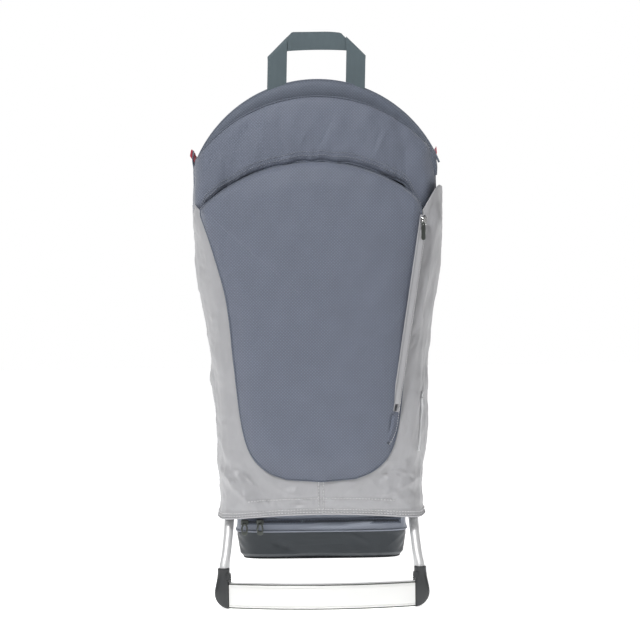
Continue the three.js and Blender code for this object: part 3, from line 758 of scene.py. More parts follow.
def make_cover():
    low, top_high = COVER_LOW.z, 0.573
    levels = np.r_[np.linspace(low, HEM_TOP, 10, endpoint=False),
                   np.linspace(HEM_TOP, top_high, COVER_ROWS - 10)]
    grid = np.stack([cover_row(z) for z in levels])
    # squeeze each column so that its last point lies on the upper edge and its first on the hem
    top = cover_top(grid[-1, :, 0])
    hem = low + 0.0075 * np.clip(1 - (grid[0, :, 0] / 0.135) ** 2, 0, 1) * (grid[0, :, 1] < -0.10)
    share = ((levels - low) / (top_high - low))[:, None]
    grid[:, :, 2] = hem[None, :] + share * (top - hem)[None, :]
    rows = np.stack([np.interp(grid[:, j, 2], levels, grid[:, j, 0]) for j in range(COVER_COLUMNS)], 1)
    depths = np.stack([np.interp(grid[:, j, 2], levels, grid[:, j, 1]) for j in range(COVER_COLUMNS)], 1)
    x, y, z = rows, depths, grid[:, :, 2]
    along = np.stack([np.gradient(x, axis=1), np.gradient(y, axis=1)], -1)
    along /= np.linalg.norm(along, axis=-1, keepdims=True)
    out_x, out_y = along[..., 1], -along[..., 0]
    facing = np.clip(-out_y, 0.15, 1)
    lift = 0.0009 * hash_noise(x * 42, z * 26, 1.0) + 0.0005 * hash_noise(x * 120 + y * 80, z * 70, 4.0)
    lift += 0.0014 * hash_noise(x * 16 + y * 12, z * 11, 2.0)
    for start, end, width, height in COVER_FOLDS:
        distance, _ = fold_line(x, z, start, end)
        soft = ridge(distance, width)
        sharp = np.exp(-np.abs(distance) / (width * 0.55))
        lift += height * (0.5 * soft + 0.7 * sharp) * facing
    for patch in COVER_CREASES:
        lift += creases(x, z, *patch) * facing
    # the sides, seen from beside the carrier
    beside = np.clip(np.abs(out_x), 0, 1)
    lift += creases(y, z, 40, (-0.13, 0.02), (0.13, 0.52), (0.030, 0.110), (1.0, 2.2), 0.0018, 17) * beside
    # puckers along the hem's stitching, the seam under the panel and the line above the hem
    pucker = 0.5 + 0.5 * np.sin(x * 560 + 3 * np.sin(x * 90) + y * 500)
    lift -= 0.0011 * ridge(z - HEM_TOP, 0.0016) + 0.0007 * pucker * ridge(z - HEM_TOP, 0.006)
    lift -= 0.0008 * ridge(z - SKIRT_LINE_Z, 0.0016) * (np.abs(x) < 0.10) * facing
    lift -= 0.0014 * ridge(x, 0.0018) * (z < 0.172) * (facing > 0.5)
    # the side pocket pushes the right side out, and a smaller bulge the left one
    lift += 0.0045 * ridge(z - 0.236, 0.045) * ridge(y + 0.075, 0.045) * (x > 0.09)
    lift += 0.0035 * ridge(z - 0.309, 0.012) * ridge(y + 0.075, 0.030) * (x < -0.09)
    lift *= 0.35 + 0.65 * np.clip((z - HEM_TOP) / 0.012, 0, 1)
    calm = np.clip((panel_reach(x, z) - 1.0) / 0.045, 0, 1)
    lift = np.where(y < -0.09, lift * calm * calm * (3 - 2 * calm), lift)
    over_wing = np.clip((z - 0.500) / 0.02, 0, 1) * np.clip((y + 0.15) / 0.02, 0, 1)
    x += out_x * lift + np.sign(x) * over_wing * np.maximum(0, 0.1672 - np.abs(x))
    y += out_y * lift
    skin = np.stack([x, y, z], -1)
    cover = sheet_object("fabric_cover", skin, "grey", 0.0014)
    place(cover, ROOT, "grey_fabric", ["outer_cover"])
    return skin


def skin_y(x, z):
    """Depth of the cover's outer face at a point seen from the front."""
    inside_z = min(max(z, COVER_LOW.z + 0.001), COVER_HIGH.z - 0.001)
    hit = COVER_TREE.ray_cast(Vector((x, -1, inside_z)), Vector((0, 1, 0)))[0]
    return hit.y if hit else COVER_LOW.y


# ---- pocket panel and head panels ---------------------------------------------------------
def pocket_border():
    """The pocket panel's outline, from its top left corner down, round and up, then along the top."""
    half = smooth_path([(w, 0, z) for w, z in POCKET_BORDER[1:]], 0.004)
    half = np.vstack([[[0, 0, POCKET_BORDER[0][1]]], half])
    corner = half[-1]
    left = half[::-1] * (-1, 1, 1)
    right = half[1:]
    top_x = np.linspace(corner[0], -corner[0], 90)[1:-1]
    top = np.stack([top_x, top_x * 0, arc_height(YOKE, top_x)], 1)
    corner_top = arc_height(YOKE, corner[0])
    rise = np.linspace(corner[2], corner_top, 8)[1:]
    up = np.stack([np.full(7, corner[0]), np.zeros(7), rise], 1)
    down = up[::-1] * (-1, 1, 1)
    border = resample(np.vstack([down, left, right, up, top, down[:1]]), 0.0032)[:-1]
    border[:, 0] -= PANEL_LEAN * np.clip((border[:, 2] - 0.42) / 0.11, 0, 1) ** 1.3
    on_top = border[:, 2] > 0.53
    border[on_top, 2] = np.minimum(border[on_top, 2], arc_height(YOKE, border[on_top, 0]))
    # the right corner is rounded off
    for _ in range(14):
        soft = (border[:, 0] > 0.115) & (border[:, 2] > 0.515)
        mean = (np.roll(border, 1, 0) + np.roll(border, -1, 0)) / 2
        border[soft] = mean[soft]
    return border


def yoke_wobble(x):
    """The top seam isn't quite even: the gathers pull it up and down a little."""
    return 0.0011 * np.sin(x * 140 + 2 * np.sin(x * 47)) * (1 - (x / 0.2) ** 2)


def make_pocket_panel():
    border = pocket_border()
    centre = np.array((0, 0, 0.40))
    rings = np.r_[np.linspace(0.02, 0.86, 34), np.linspace(0.88, 1.0, 16)]
    points = centre + rings[:, None, None] * (border[None] - centre)
    x, z = points[..., 0], points[..., 2]
    flat = np.stack([x.ravel(), z.ravel()], 1)
    edge = border[:, [0, 2]]
    distance = np.sqrt(((flat[:, None, :] - edge[None]) ** 2).sum(-1)).min(1).reshape(x.shape)
    base = np.array([[skin_y(px, pz) for px, pz in zip(rx, rz)] for rx, rz in zip(x, z)])
    soft_edge = 0.016 - 0.011 * np.clip((z - arc_height(YOKE, np.clip(x, -0.2, 0.2)) + 0.05) / 0.04, 0, 1)
    crown = 0.0085 * (1 - (x / 0.15) ** 2) * np.minimum(distance / 0.03, 1)
    bulge = 0.0115 * (1 - np.exp(-distance / soft_edge)) + crown
    to_top = arc_height(YOKE, x) - z
    gather = np.sin(x * 430 + 2.5 * np.sin(x * 70)) * np.exp(-np.abs(to_top) / 0.010)
    lift = bulge + 0.0006 * gather + 0.0010 * hash_noise(x * 22, z * 15, 0.7)
    lift += 0.0013 * ridge(fold_line(x, z, (-0.095, 0.575), (-0.075, 0.50))[0], 0.010)
    lift -= 0.0012 * ridge(fold_line(x, z, (0.110, 0.555), (0.122, 0.42))[0], 0.012)
    lift -= 0.0014 * ridge(fold_line(x, z, (-0.118, 0.52), (-0.108, 0.33))[0], 0.012)
    lift += 0.0010 * ridge(fold_line(x, z, (-0.05, 0.20), (0.02, 0.30))[0], 0.022)
    lift += creases(x, z, 14, (-0.150, -0.09), (0.42, 0.56), (0.02, 0.06), (1.0, 1.7), 0.0018, 33)
    y = base - 0.0012 - np.maximum(lift, 0)
    front = np.stack([x, y, z], -1)
    back = front[::-1].copy()
    back[..., 1] = base[::-1] - 0.0008
    panel = closed_loft("pocket_panel_pad", np.vstack([front, back[1:]]), "slate")
    place(panel, ROOT, "slate_fabric", ["pocket_panel"])
    seam = front[-1]
    seam_line = np.vstack([seam, seam[:1]]) + (0, 0.0002, 0)
    piping("pocket_piping", seam_line, 0.0013, "slate_dark", slot="dark_slate_fabric")


HEAD_FOLDS = [
    ((-0.096, 0.578), (-0.060, 0.650), 0.011, 0.0019),
    ((-0.120, 0.560), (-0.095, 0.640), 0.008, -0.0014),
    ((-0.140, 0.552), (-0.128, 0.600), 0.007, 0.0013),
    ((-0.040, 0.600), (-0.030, 0.650), 0.012, 0.0009),
    ((0.050, 0.604), (0.040, 0.664), 0.010, -0.0012),
    ((0.088, 0.588), (0.068, 0.655), 0.010, 0.0014),
    ((0.122, 0.560), (0.112, 0.640), 0.008, -0.0015),
    ((0.144, 0.548), (0.138, 0.600), 0.007, 0.0012),
]


def make_head_panel():
    rows = 70
    half = smooth_path([(0, -0.1660, 0), (0.045, -0.1645, 0), (0.085, -0.1595, 0), (0.120, -0.1510, 0),
                        (0.143, -0.1410, 0), (0.1550, -0.1290, 0), (0.1600, -0.1150, 0),
                        (0.1615, -0.1000, 0)], 0.0015)
    plan = np.vstack([half[:0:-1] * (-1.040, 1, 1), half * (0.995, 1, 1)])
    x = np.repeat(plan[None, :, 0], rows, 0)
    turn = unit(np.cross(tangents(plan), (0, 0, 1)))
    share = np.linspace(0, 1, rows)[:, None]
    low = arc_height(YOKE, x) + yoke_wobble(x) + 0.0004
    tuck_right = np.clip((x - 0.117) / 0.020, 0, 1)
    tuck_left = np.clip((-x - 0.148) / 0.010, 0, 1)
    low = low - 0.030 * tuck_right ** 1.5 - 0.020 * tuck_left
    high = np.minimum(arc_height(HOOD, x), 0.690)
    z = low + share * (high - low)
    to_low, to_high = z - low, high - z
    near = np.minimum(to_low, to_high)
    facing = np.clip(-turn[None, :, 1], 0.25, 1)
    pillow = (0.0045 * (1 - np.exp(-near / 0.0035)) + 0.0045 * (1 - np.exp(-near / 0.016))) * facing
    gather = np.sin(x * 400 + 3 * np.sin(x * 61)) * np.exp(-to_low / 0.013)
    lift = pillow + 0.0009 * gather + 0.0010 * hash_noise(x * 26, z * 22, 3.1)
    for start, end, width, height in HEAD_FOLDS:
        lift += 1.5 * height * ridge(fold_line(x, z, start, end)[0], width) * facing
    lift += facing * creases(x, z, 26, (-0.150, 0.150), (0.535, 0.680), (0.020, 0.050), (1.1, 2.0),
                             0.0022, 21)
    lift *= np.clip(near / 0.002, 0.1, 1)
    y = plan[None, :, 1] + turn[None, :, 1] * lift
    x = x + turn[None, :, 0] * lift
    front = np.stack([x, y, z], -1)
    panel = sheet_object("head_panel_pad", front, "slate", 0.006)
    place(panel, ROOT, "slate_fabric", ["head_panel"])
    bottom = front[0] + (0, -0.0006, -0.0003)
    piping("yoke_seam_piping", bottom, 0.0012, "slate_dark", slot="dark_slate_fabric")
    # two rows of real stitches above the yoke seam, their pale thread a painted highlight for the weave's
    # light dots
    for number, row in enumerate((6, 10)):
        stitching(f"yoke_stitches_{number + 1}", front[row] + (0, -0.0003, 0), (0, -1, 0), "yoke_thread_highlight",
                  slot="slate_fabric")
    piping("hood_seam_piping", front[-1] + (0, -0.0004, 0.0002), 0.0012, "slate_dark",
           slot="dark_slate_fabric")


def make_head_rim():
    radius = CROWN["radius"] - 0.0150
    angles = np.linspace(-1.27, 1.27, 150)
    x = radius * np.sin(angles)
    y = -0.1446 + 0.024 * (x / 0.161) ** 2
    path = np.stack([x, y, CROWN["centre"] + radius * np.cos(angles)], 1)
    ring = []
    for a in np.linspace(0, 2 * math.pi, 36, endpoint=False):
        ring.append((squared(math.cos(a), 0.7) * 0.0150, squared(math.sin(a), 0.7) * 0.0110))
    outward = np.stack([np.sin(angles), angles * 0, np.cos(angles)], 1)

    def section(s):
        wave = 1 + 0.03 * math.sin(s * 60) + 0.02 * math.sin(s * 143)
        wave *= min(1.0, 0.45 + 9 * min(s, 1 - s))
        return [(a * min(1.0, wave * 1.05), b * wave) for a, b in ring]

    rim = sweep("crown_rim", path, lambda i: outward[i], section, "slate_dark")
    place(rim, ROOT, "dark_slate_fabric", ["head_rim"])
    edge = path + outward * 0.0150
    edge = edge[np.abs(angles) < 1.2] + (0, -0.0035, 0.0)
    piping("crown_binding", edge, 0.0014, "slate_dark", slot="dark_slate_fabric")


def make_head_lining():
    """Closes the back of the head panel, towards the child."""
    columns, rows = 90, 40
    x = np.linspace(-0.158, 0.158, columns)[None, :] * np.ones((rows, 1))
    low = np.full(columns, 0.520)
    high = np.minimum(arc_height(CROWN, x[0]) - 0.014, 0.696)
    z = low + np.linspace(0, 1, rows)[:, None] * (high - low)
    y = -0.1510 + 0.024 * (x / 0.161) ** 2 + 0.0012 * hash_noise(x * 30, z * 25, 1.3)
    grid = np.stack([x, y, z], -1)
    lining = sheet_object("head_lining", grid, "lining", 0.0012)
    place(lining, ROOT, "charcoal_fabric")


def make_wing(side):
    """A slate side wing from the head panel back to the frame, lined with red inside."""
    name = "right" if side > 0 else "left"
    low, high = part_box(name + "_head_wing")
    front = low.y + 0.020
    top_edge = [(front, 0.606), (front + 0.016, 0.620), (-0.05, 0.612), (0.010, 0.592), (high.y, 0.570)]
    y = np.linspace(front, high.y + 0.002, 90)
    top = np.interp(y, *zip(*top_edge))
    rows = 50
    share = np.linspace(0, 1, rows)[:, None]
    z = 0.515 + share * (top[None, :] - 0.515)
    yy = np.repeat(y[None, :], rows, 0)
    bow = 0.0025 * np.sin(np.clip((yy - low.y) / (high.y - low.y), 0, 1) * math.pi)
    out = 0.1600 + (0.0040 if side < 0 else -0.0010)
    x = out + bow + 0.0030 * share ** 2 + 0.0009 * hash_noise(yy * 40, z * 40, 2.0 + side)
    if side < 0:
        x = x - 0.0038 * np.clip((0.556 - z) / 0.010, 0, 1)  # tucked in behind the cover's upper edge
    outer = np.stack([side * x, yy, z], -1)
    wing = sheet_object(name + "_wing_outer", outer, "slate", 0.0014, offset=-side)
    place(wing, ROOT, "slate_fabric", [name + "_head_wing"])
    reach = 0.0062 if side < 0 else 0.0022
    flare = reach * np.clip((share - 0.86) / 0.14, 0, 1) ** 1.5 * np.exp(-((yy + 0.112) / 0.022) ** 2)
    hidden = 0.030 * (1 - np.clip((share - 0.72) / 0.15, 0, 1)) * np.exp(-(yy - front) / 0.04)
    inner = np.stack([side * (x - 0.0024 + flare), yy + hidden, z + 0.0018 * share], -1)[:, 3:]
    lining = sheet_object(name + "_wing_lining", inner, "red", 0.0009, offset=side)
    place(lining, ROOT, "slate_fabric")


# ---- padded pieces ------------------------------------------------------------------------
def make_pad(node, name, material, slot, voxel, cap, shrink, channels, direction=(0, 1, 0),
             depth=0.003):
    """A CAD pad, puffed up by cloth pressure and then quilted along its channels."""
    pad = inflate(copy_of(node, name, material), voxel, cap, shrink)
    for distance in channels:
        groove(pad, distance, depth, 0.0035, direction)
    place(pad, ROOT, slot, [node])


def along_z(height):
    return lambda p: np.abs(p[:, 2] - height)


def along_x(offset):
    return lambda p: np.abs(p[:, 0] - offset)


def make_pads():
    make_pad("child_back_pad", "child_back_cushion", "lining", "charcoal_fabric", 0.006, 0.006, 0.003,
             [along_z(z) for z in (0.33, 0.41, 0.49, 0.57)] + [along_x(-0.03), along_x(0.03)])
    make_pad("seat_pad", "seat_cushion", "lining", "charcoal_fabric", 0.006, 0.008, 0.003,
             [along_x(-0.04), along_x(0.04)], (0, 0, 1))
    make_pad("face_pad", "face_cushion", "lining", "charcoal_fabric", 0.005, 0.006, 0.002,
             [along_z(0.607)], (0, -1, 0), 0.002)
    make_pad("back_pad", "back_cushion", "mesh", "mesh_fabric", 0.006, 0.007, 0.003,
             [along_x(-0.034), along_x(0.034), along_z(0.31), along_z(0.40), along_z(0.48)],
             (0, 1, 0), 0.0045)
    make_pad("lumbar_pad", "lumbar_cushion", "mesh", "mesh_fabric", 0.006, 0.007, 0.003,
             [along_x(-0.045), along_x(0.045)], (0, 1, 0), 0.005)


# ---- rigid pieces taken from the CAD ------------------------------------------------------
def body_of(node):
    return NODES[node]["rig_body"]


def eased(node, name, material, slot, width=0.0008, segments=3):
    """A CAD piece with its edges rounded over, in place of the plain one."""
    obj = copy_of(node, name, material)
    bm = bmesh.new()
    bm.from_mesh(obj.data)
    bmesh.ops.remove_doubles(bm, verts=bm.verts, dist=0.00002)
    bmesh.ops.dissolve_limit(bm, angle_limit=math.radians(1.5), verts=bm.verts, edges=bm.edges)
    bm.to_mesh(obj.data)
    bm.free()
    edge = obj.modifiers.new("ease", "BEVEL")
    edge.width, edge.segments, edge.limit_method = width, segments, "ANGLE"
    edge.angle_limit = math.radians(38)
    edge.harden_normals = True
    apply_modifiers(obj)
    for polygon in obj.data.polygons:
        polygon.use_smooth = True
    obj.data.set_sharp_from_angle(angle=math.radians(45))
    return place(obj, body_of(node), slot, [node])


FRAME_Y = 0.034
LEG_X, FOOT_X, FRAME_TOP, CORNER = 0.132, 0.140, 0.620, 0.100
TUBE_RADIUS = 0.00635
RAIL_Z = 0.175


def make_frame():
    bend = [(LEG_X - CORNER * (1 - math.cos(a)), FRAME_TOP - CORNER * (1 - math.sin(a)))
            for a in np.linspace(0, math.pi / 2, 9)]
    half = [(FOOT_X, 0.004), (0.138, 0.037), (0.133, 0.094), (LEG_X, 0.140), (LEG_X, 0.300),
            (LEG_X, 0.420)] + bend
    points = half + [(0, FRAME_TOP)] + [(-x, z) for x, z in reversed(half)]
    path = smooth_path([(x, FRAME_Y, z) for x, z in points], 0.006)
    tube = sweep("harness_frame_tube", path, (0, 1, 0), round_section(TUBE_RADIUS, 28), "tube")
    place(tube, ROOT, "anodised_aluminium", ["frame_tube"])
    rail = turned("cross_rail", [(-0.130, 0.0055), (0.130, 0.0055)], (0, FRAME_Y, RAIL_Z), (1, 0, 0),
                  "tube", 24)
    place(rail, ROOT, "anodised_aluminium")
    for side in (1, -1):
        weld = turned(f"rail_weld_{'right' if side > 0 else 'left'}",
                      [(0, 0.0086), (0.0014, 0.0078), (0.0030, 0.0060)],
                      (side * (LEG_X - TUBE_RADIUS + 0.0004), FRAME_Y, RAIL_Z), (-side, 0, 0), "tube", 24)
        place(weld, ROOT, "anodised_aluminium")


STAND_Y = -0.162  # the base bar's ends and the elbows
STAND = {"eye_x": 0.114, "pivot": (0.010, 0.330), "down": (-0.166, -0.268), "over": 0.256, "by": 0.011}


def stand_path(side):
    run = math.hypot(*STAND["down"])
    dy, dz = STAND["down"][0] / run, STAND["down"][1] / run
    points = []
    for distance in (0.016, 0.090, 0.180, 0.256):
        points.append((STAND["eye_x"] + distance / STAND["over"] * STAND["by"],
                       STAND["pivot"][0] + dy * distance, STAND["pivot"][1] + dz * distance))
    points += [(0.1287, -0.151, 0.072), (0.1313, -0.1595, 0.057), (0.132, STAND_Y, 0.045),
               (0.1322, STAND_Y, 0.027)]
    return smooth_path([(side * x, y, z) for x, y, z in points], 0.004)


def make_stand():
    """The folding base, with its hinges, lock buttons and the frame's own feet."""
    for side, name in ((1, "right"), (-1, "left")):
        tube = sweep(name + "_stand_leg", stand_path(side), (1, 0, 0), round_section(0.00625, 28), "tube")
        place(tube, "stand", "anodised_aluminium", [name + "_stand_tube"])
        make_elbow(side, name)
        eased(name + "_stand_eye", name + "_stand_knuckle", "hinge", "hinge_plastic", 0.0012)
        eased(name + "_hinge_hub", name + "_hinge_housing", "hinge", "hinge_plastic", 0.0016, 4)
        eased(name + "_hinge_pin", name + "_hinge_rivet", "steel", "zip_steel", 0.0007)
        eased(name + "_lock_button", name + "_lock_press", "red_plastic", "red_plastic", 0.0012)
        make_foot(side, name)
    make_base_bar()


def make_elbow(side, name):
    """The moulded corner that carries a stand leg round into the base bar."""
    inner, outer, low, top, corner = 0.1248, 0.1442, 0.0010, 0.0545, 0.020
    rings = []
    heights = np.r_[low + corner * (1 - np.cos(np.linspace(0.05, math.pi / 2, 16))),
                    np.linspace(low + corner, top - 0.002, 18)[1:], top - 0.0008, top]
    for z in heights:
        drop = max(0.0, low + corner - z)
        out_x = outer - (corner - math.sqrt(max(0.0, corner ** 2 - drop ** 2))) * 0.95
        up = np.clip((z - 0.020) / 0.030, 0, 1)
        up = up * up * (3 - 2 * up)
        in_x = inner - 0.0010 * up
        out_x -= 0.0042 * up
        lip = 0.0007 if z > top - 0.0005 else 0.0
        depth = 0.0102 - 0.0014 * up - lip
        middle, half = (in_x + out_x) / 2, (out_x - in_x) / 2 - lip
        power = 0.45 + 0.45 * up
        ring = []
        for t in np.linspace(0, 2 * math.pi, 40, endpoint=False):
            ring.append((side * (middle + half * squared(math.cos(t), power)),
                         STAND_Y + depth * squared(math.sin(t), power), z))
        rings.append(ring)
    body = closed_loft(name + "_elbow_body", rings, "hinge")
    body.data.set_sharp_from_angle(angle=math.radians(50))
    place(body, "stand", "hinge_plastic", [name + "_base_elbow"])
    block = cut_out(name + "_elbow_key", rounded(0.0055, 0.0080, 0.0010, (side * 0.1262, 0.0435)),
                    -0.1716, -0.1690, "black", 0.0005)
    place(block, "stand", "hinge_plastic")


def make_base_bar():
    """A bowed extrusion, with a fine rolled line along its top and bottom edges, and thin dark lines at both
    edges that are painted shade.
    """
    height, depth, edge, groove_depth = 0.035, 0.016, 0.005, 0.0007
    section = []
    for a, b in rounded(depth, height, edge, count=8):
        section.append((a, b + height / 2))
    lines = []
    for z0 in (0.0048, height - 0.0048):
        for offset, pressed in ((-0.0007, 0), (-0.0003, 1), (0.0003, 1), (0.0007, 0)):
            lines.append((-depth / 2 + groove_depth * pressed, z0 + offset))
    front = sorted([p for p in section if p[0] < 0 and edge <= p[1] <= height - edge] + lines,
                   key=lambda p: -p[1])
    rest = [p for p in section if not (p[0] < 0 and edge < p[1] < height - edge)]
    upper = [p for p in rest if p[1] > height / 2]
    lower = [p for p in rest if p[1] <= height / 2]
    middle = [p for p in front if 0.0041 <= p[1] <= height - 0.0041]
    ring = upper + middle + lower
    half, bow = 0.1247, 0.026
    rows = []
    for x in np.linspace(-half, half, 61):
        shift = bow * (1 - (x / half) ** 2)
        rows.append([(x, STAND_Y - shift + a, b) for a, b in ring])
    bar = closed_loft("base_bar_extrusion", rows, "bar")
    bar.data.set_sharp_from_angle(angle=math.radians(50))
    place(bar, "stand", "anodised_aluminium", ["base_bar"])
    # thin gunmetal lines near the top and bottom edges: partly the bar's inset lines, their darkness painted
    # shade and dark reflection at the edges
    for label, z, back in (("upper", height - 0.0014, 0.0006), ("lower", 0.0020, 0.0002)):
        x = np.linspace(-half, half, 61)
        y = STAND_Y - bow * (1 - (x / half) ** 2) - depth / 2 + back + 0.0006
        line = np.stack([x, y, x * 0 + z], 1)
        piping("bar_painted_shade_line_" + label, line, 0.0008, "gunmetal", "stand", "anodised_aluminium")


def make_foot(side, name):
    profile = [(0, 0.0085), (0.0006, 0.0094), (0.0015, 0.0104)]
    for k in range(5):
        z = 0.003 + k * 0.0034
        profile += [(z, 0.0102), (z + 0.0006, 0.0095), (z + 0.0014, 0.0095), (z + 0.0020, 0.0101)]
    profile += [(0.0225, 0.0097), (0.0250, 0.0093), (0.0258, 0.0084), (0.0259, 0.0066)]
    foot = turned(name + "_foot_cap", profile, (side * FOOT_X, FRAME_Y, 0.0), (0, 0, 1), "rubber", 40)
    place(foot, ROOT, "rubber", [name + "_rear_foot"])


# ---- straps and webbing -------------------------------------------------------------------
WEBBING_THICKNESS = 0.0018
BELT_Z = 0.170


def webbing_run(name, path, width, across, body, replaces=()):
    """A length of flat black webbing along a path."""
    band = sweep(name, resample(path, 0.004), across, band_section(width, WEBBING_THICKNESS, 0.3, 24),
                 "black_webbing")
    place(band, body, "black_webbing", replaces)


SHOULDER_PATH = [(0.071, 0.548), (0.080, 0.582), (0.107, 0.592), (0.137, 0.562), (0.150, 0.520),
                 (0.156, 0.460), (0.160, 0.415), (0.149, 0.372), (0.133, 0.338)]


def make_shoulder_strap(side, name):
    centre = 0.062 * side
    path = smooth_path([(centre, y, z) for y, z in SHOULDER_PATH], 0.0035)
    count = 40

    def section(s):
        taper = 1 - 0.28 * max(0.0, (s - 0.82) / 0.18) ** 1.3 - 0.06 * max(0.0, 1 - s / 0.1)
        plump = 1 - 0.35 * max(0.0, (s - 0.86) / 0.14) + 0.03 * math.sin(s * 55)
        ring = []
        for a in np.linspace(0, 2 * math.pi, count, endpoint=False):
            w = squared(math.cos(a), 0.55)
            quilt = 1 - 0.30 * math.exp(-((abs(w) - 0.42) / 0.07) ** 2)
            ring.append((w * 0.0295 * taper, squared(math.sin(a), 0.55) * 0.0060 * plump * quilt))
        return ring

    pad = sweep(name + "_shoulder_pad", path, (1, 0, 0), section, "mesh")
    place(pad, ROOT, "mesh_fabric", [name + "_shoulder_strap"])
    outward = np.cross(tangents(path), (1, 0, 0))
    outward *= np.sign(outward[len(path) // 2, 1])
    for edge_sign in (-1, 1):
        edge = path + np.array((edge_sign * 0.0295, 0, 0))
        edge = edge[: int(len(edge) * 0.80)]
        binding = sweep(f"{name}_strap_binding_{'outer' if edge_sign == side else 'inner'}", edge,
                        (1, 0, 0), round_section(0.0022, 12), "black_webbing")
        place(binding, ROOT, "black_webbing")
    padded_run = slice(6, int(len(path) * 0.93))
    spine = path[padded_run] + outward[padded_run] * 0.0058
    place(sweep(name + "_strap_spine", spine, (1, 0, 0), band_section(0.025, 0.0016, 0.3, 24),
                "black_webbing"), ROOT, "black_webbing")
    for offset in (-0.0105, 0.0105):
        row = spine + outward[padded_run] * 0.0009 + np.array((offset, 0, 0))
        stitching(f"{name}_strap_stitches_{'right' if offset > 0 else 'left'}", row,
                  lambda i, p: (0, 1, 0.2), "grey_thread", ROOT, "black_webbing", 0.0042)
    return path


def make_hip_wing(side, name):
    points = [(0.104, 0.056), (0.121, 0.072), (0.133, 0.104), (0.133, 0.139), (0.124, 0.162),
              (0.109, 0.175)]
    path = smooth_path([(side * x, y, BELT_Z) for x, y in points], 0.0035)
    count = 44

    def section(s):
        taper = 1 - 0.42 * max(0.0, (s - 0.45) / 0.55) ** 1.6
        ring = []
        for a in np.linspace(0, 2 * math.pi, count, endpoint=False):
            w = squared(math.cos(a), 0.5)
            quilt = 1 - 0.35 * math.exp(-((abs(w) - 0.45) / 0.06) ** 2)
            ring.append((w * 0.0440 * taper, squared(math.sin(a), 0.5) * 0.0060 * quilt))
        return ring

    wing = sweep(name + "_hip_pad", path, (0, 0, 1), section, "mesh")
    place(wing, ROOT, "mesh_fabric", [name + "_hip_wing"])
    forward = tangents(path)
    outward = np.cross(forward, (0, 0, 1))
    outward *= np.sign(outward[len(path) // 2, 0]) * side
    along = np.linspace(0, 1, len(path))
    for edge_sign, label in ((-1, "lower"), (1, "upper")):
        taper = 1 - 0.42 * np.maximum(0, (along - 0.45) / 0.55) ** 1.6
        edge = path + np.stack([along * 0, along * 0, edge_sign * 0.0440 * taper], 1)
        place(sweep(f"{name}_hip_binding_{label}", edge, (0, 0, 1), round_section(0.0022, 12),
                    "black_webbing"), ROOT, "black_webbing")
    belt = path[4:] + outward[4:] * 0.0062
    place(sweep(name + "_hip_belt_strip", belt, (0, 0, 1), band_section(0.038, 0.0016, 0.3, 24),
                "black_webbing"), ROOT, "black_webbing")
    for offset in (-0.0165, 0.0165):
        stitching(f"{name}_hip_stitches_{'upper' if offset > 0 else 'lower'}",
                  belt + outward[4:] * 0.0009 + np.array((0, 0, offset)),
                  lambda i, p: (side, 0.2, 0), "grey_thread", ROOT, "black_webbing", 0.0042)


def node_webbing(node, name, width, across, ends, bow=(0, 0, 0)):
    """Webbing in place of a straight CAD strip, between two ends and with a slight bow."""
    start, end = (np.asarray(v, float) for v in ends)
    t = np.linspace(0, 1, 30)[:, None]
    path = start + (end - start) * t + np.asarray(bow, float) * np.sin(t * math.pi)
    webbing_run(name, path, width, across, body_of(node), [node])


def make_harness():
    sternum_low, sternum_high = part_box("sternum_right_webbing")
    sternum_z = (sternum_low.z + sternum_high.z) / 2
    for belt, z, width, bow in (("hip", BELT_Z, 0.0375, 0.0012), ("sternum", sternum_z, 0.0195, 0.0005)):
        low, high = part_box(belt + "_right_webbing")
        y = (low.y + high.y) / 2
        for side in ("right", "left"):
            node = f"{belt}_{side}_webbing"
            low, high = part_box(node)
            near, far = (low.x, high.x) if side == "right" else (high.x, low.x)
            node_webbing(node, node.replace("webbing", "strap"), width, (0, 0, 1),
                         ends=((near, y, z), (far, y, z)), bow=(0, bow, 0))
    for side, name in ((1, "right"), (-1, "left")):
        path = make_shoulder_strap(side, name)
        make_hip_wing(side, name)
        end, forward = path[-1], tangents(path)[-1]
        eased(name + "_strap_adjuster", name + "_ladder_lock", "black", "black_plastic", 0.0009)
        start = end + forward * 0.0045
        anchor = np.array((side * 0.103, 0.066, 0.240))
        node_webbing(name + "_strap_webbing", name + "_lower_strap", 0.0195, (1, 0, side * 0.4),
                     ends=(end + forward * 0.027, anchor), bow=(0, 0.002, 0))
        tail = smooth_path([start, start + (0, 0.009, -0.022), start + (side * 0.002, 0.008, -0.055),
                            start + (side * 0.004, 0.004, -0.085)], 0.004)
        webbing_run(name + "_strap_tail", tail, 0.0195, (1, 0, 0), ROOT)
    for piece in ("hip_socket", "hip_plug"):
        eased(piece, piece + "_moulding", "black", "black_plastic", 0.0022, 4)
        low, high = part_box(piece)
        middle = (low.x + high.x) / 2
        if piece == "hip_plug":
            middle = -0.018
        plate = cut_out(piece + "_plate", rounded(0.018, 0.026, 0.004, (middle, (low.z + high.z) / 2)),
                        high.y - 0.0005, high.y + 0.0011, "hinge", 0.0007)
        place(plate, body_of(piece), "black_plastic")
    for piece in ("sternum_socket", "sternum_plug"):
        eased(piece, piece + "_moulding", "black", "black_plastic", 0.0014, 4)


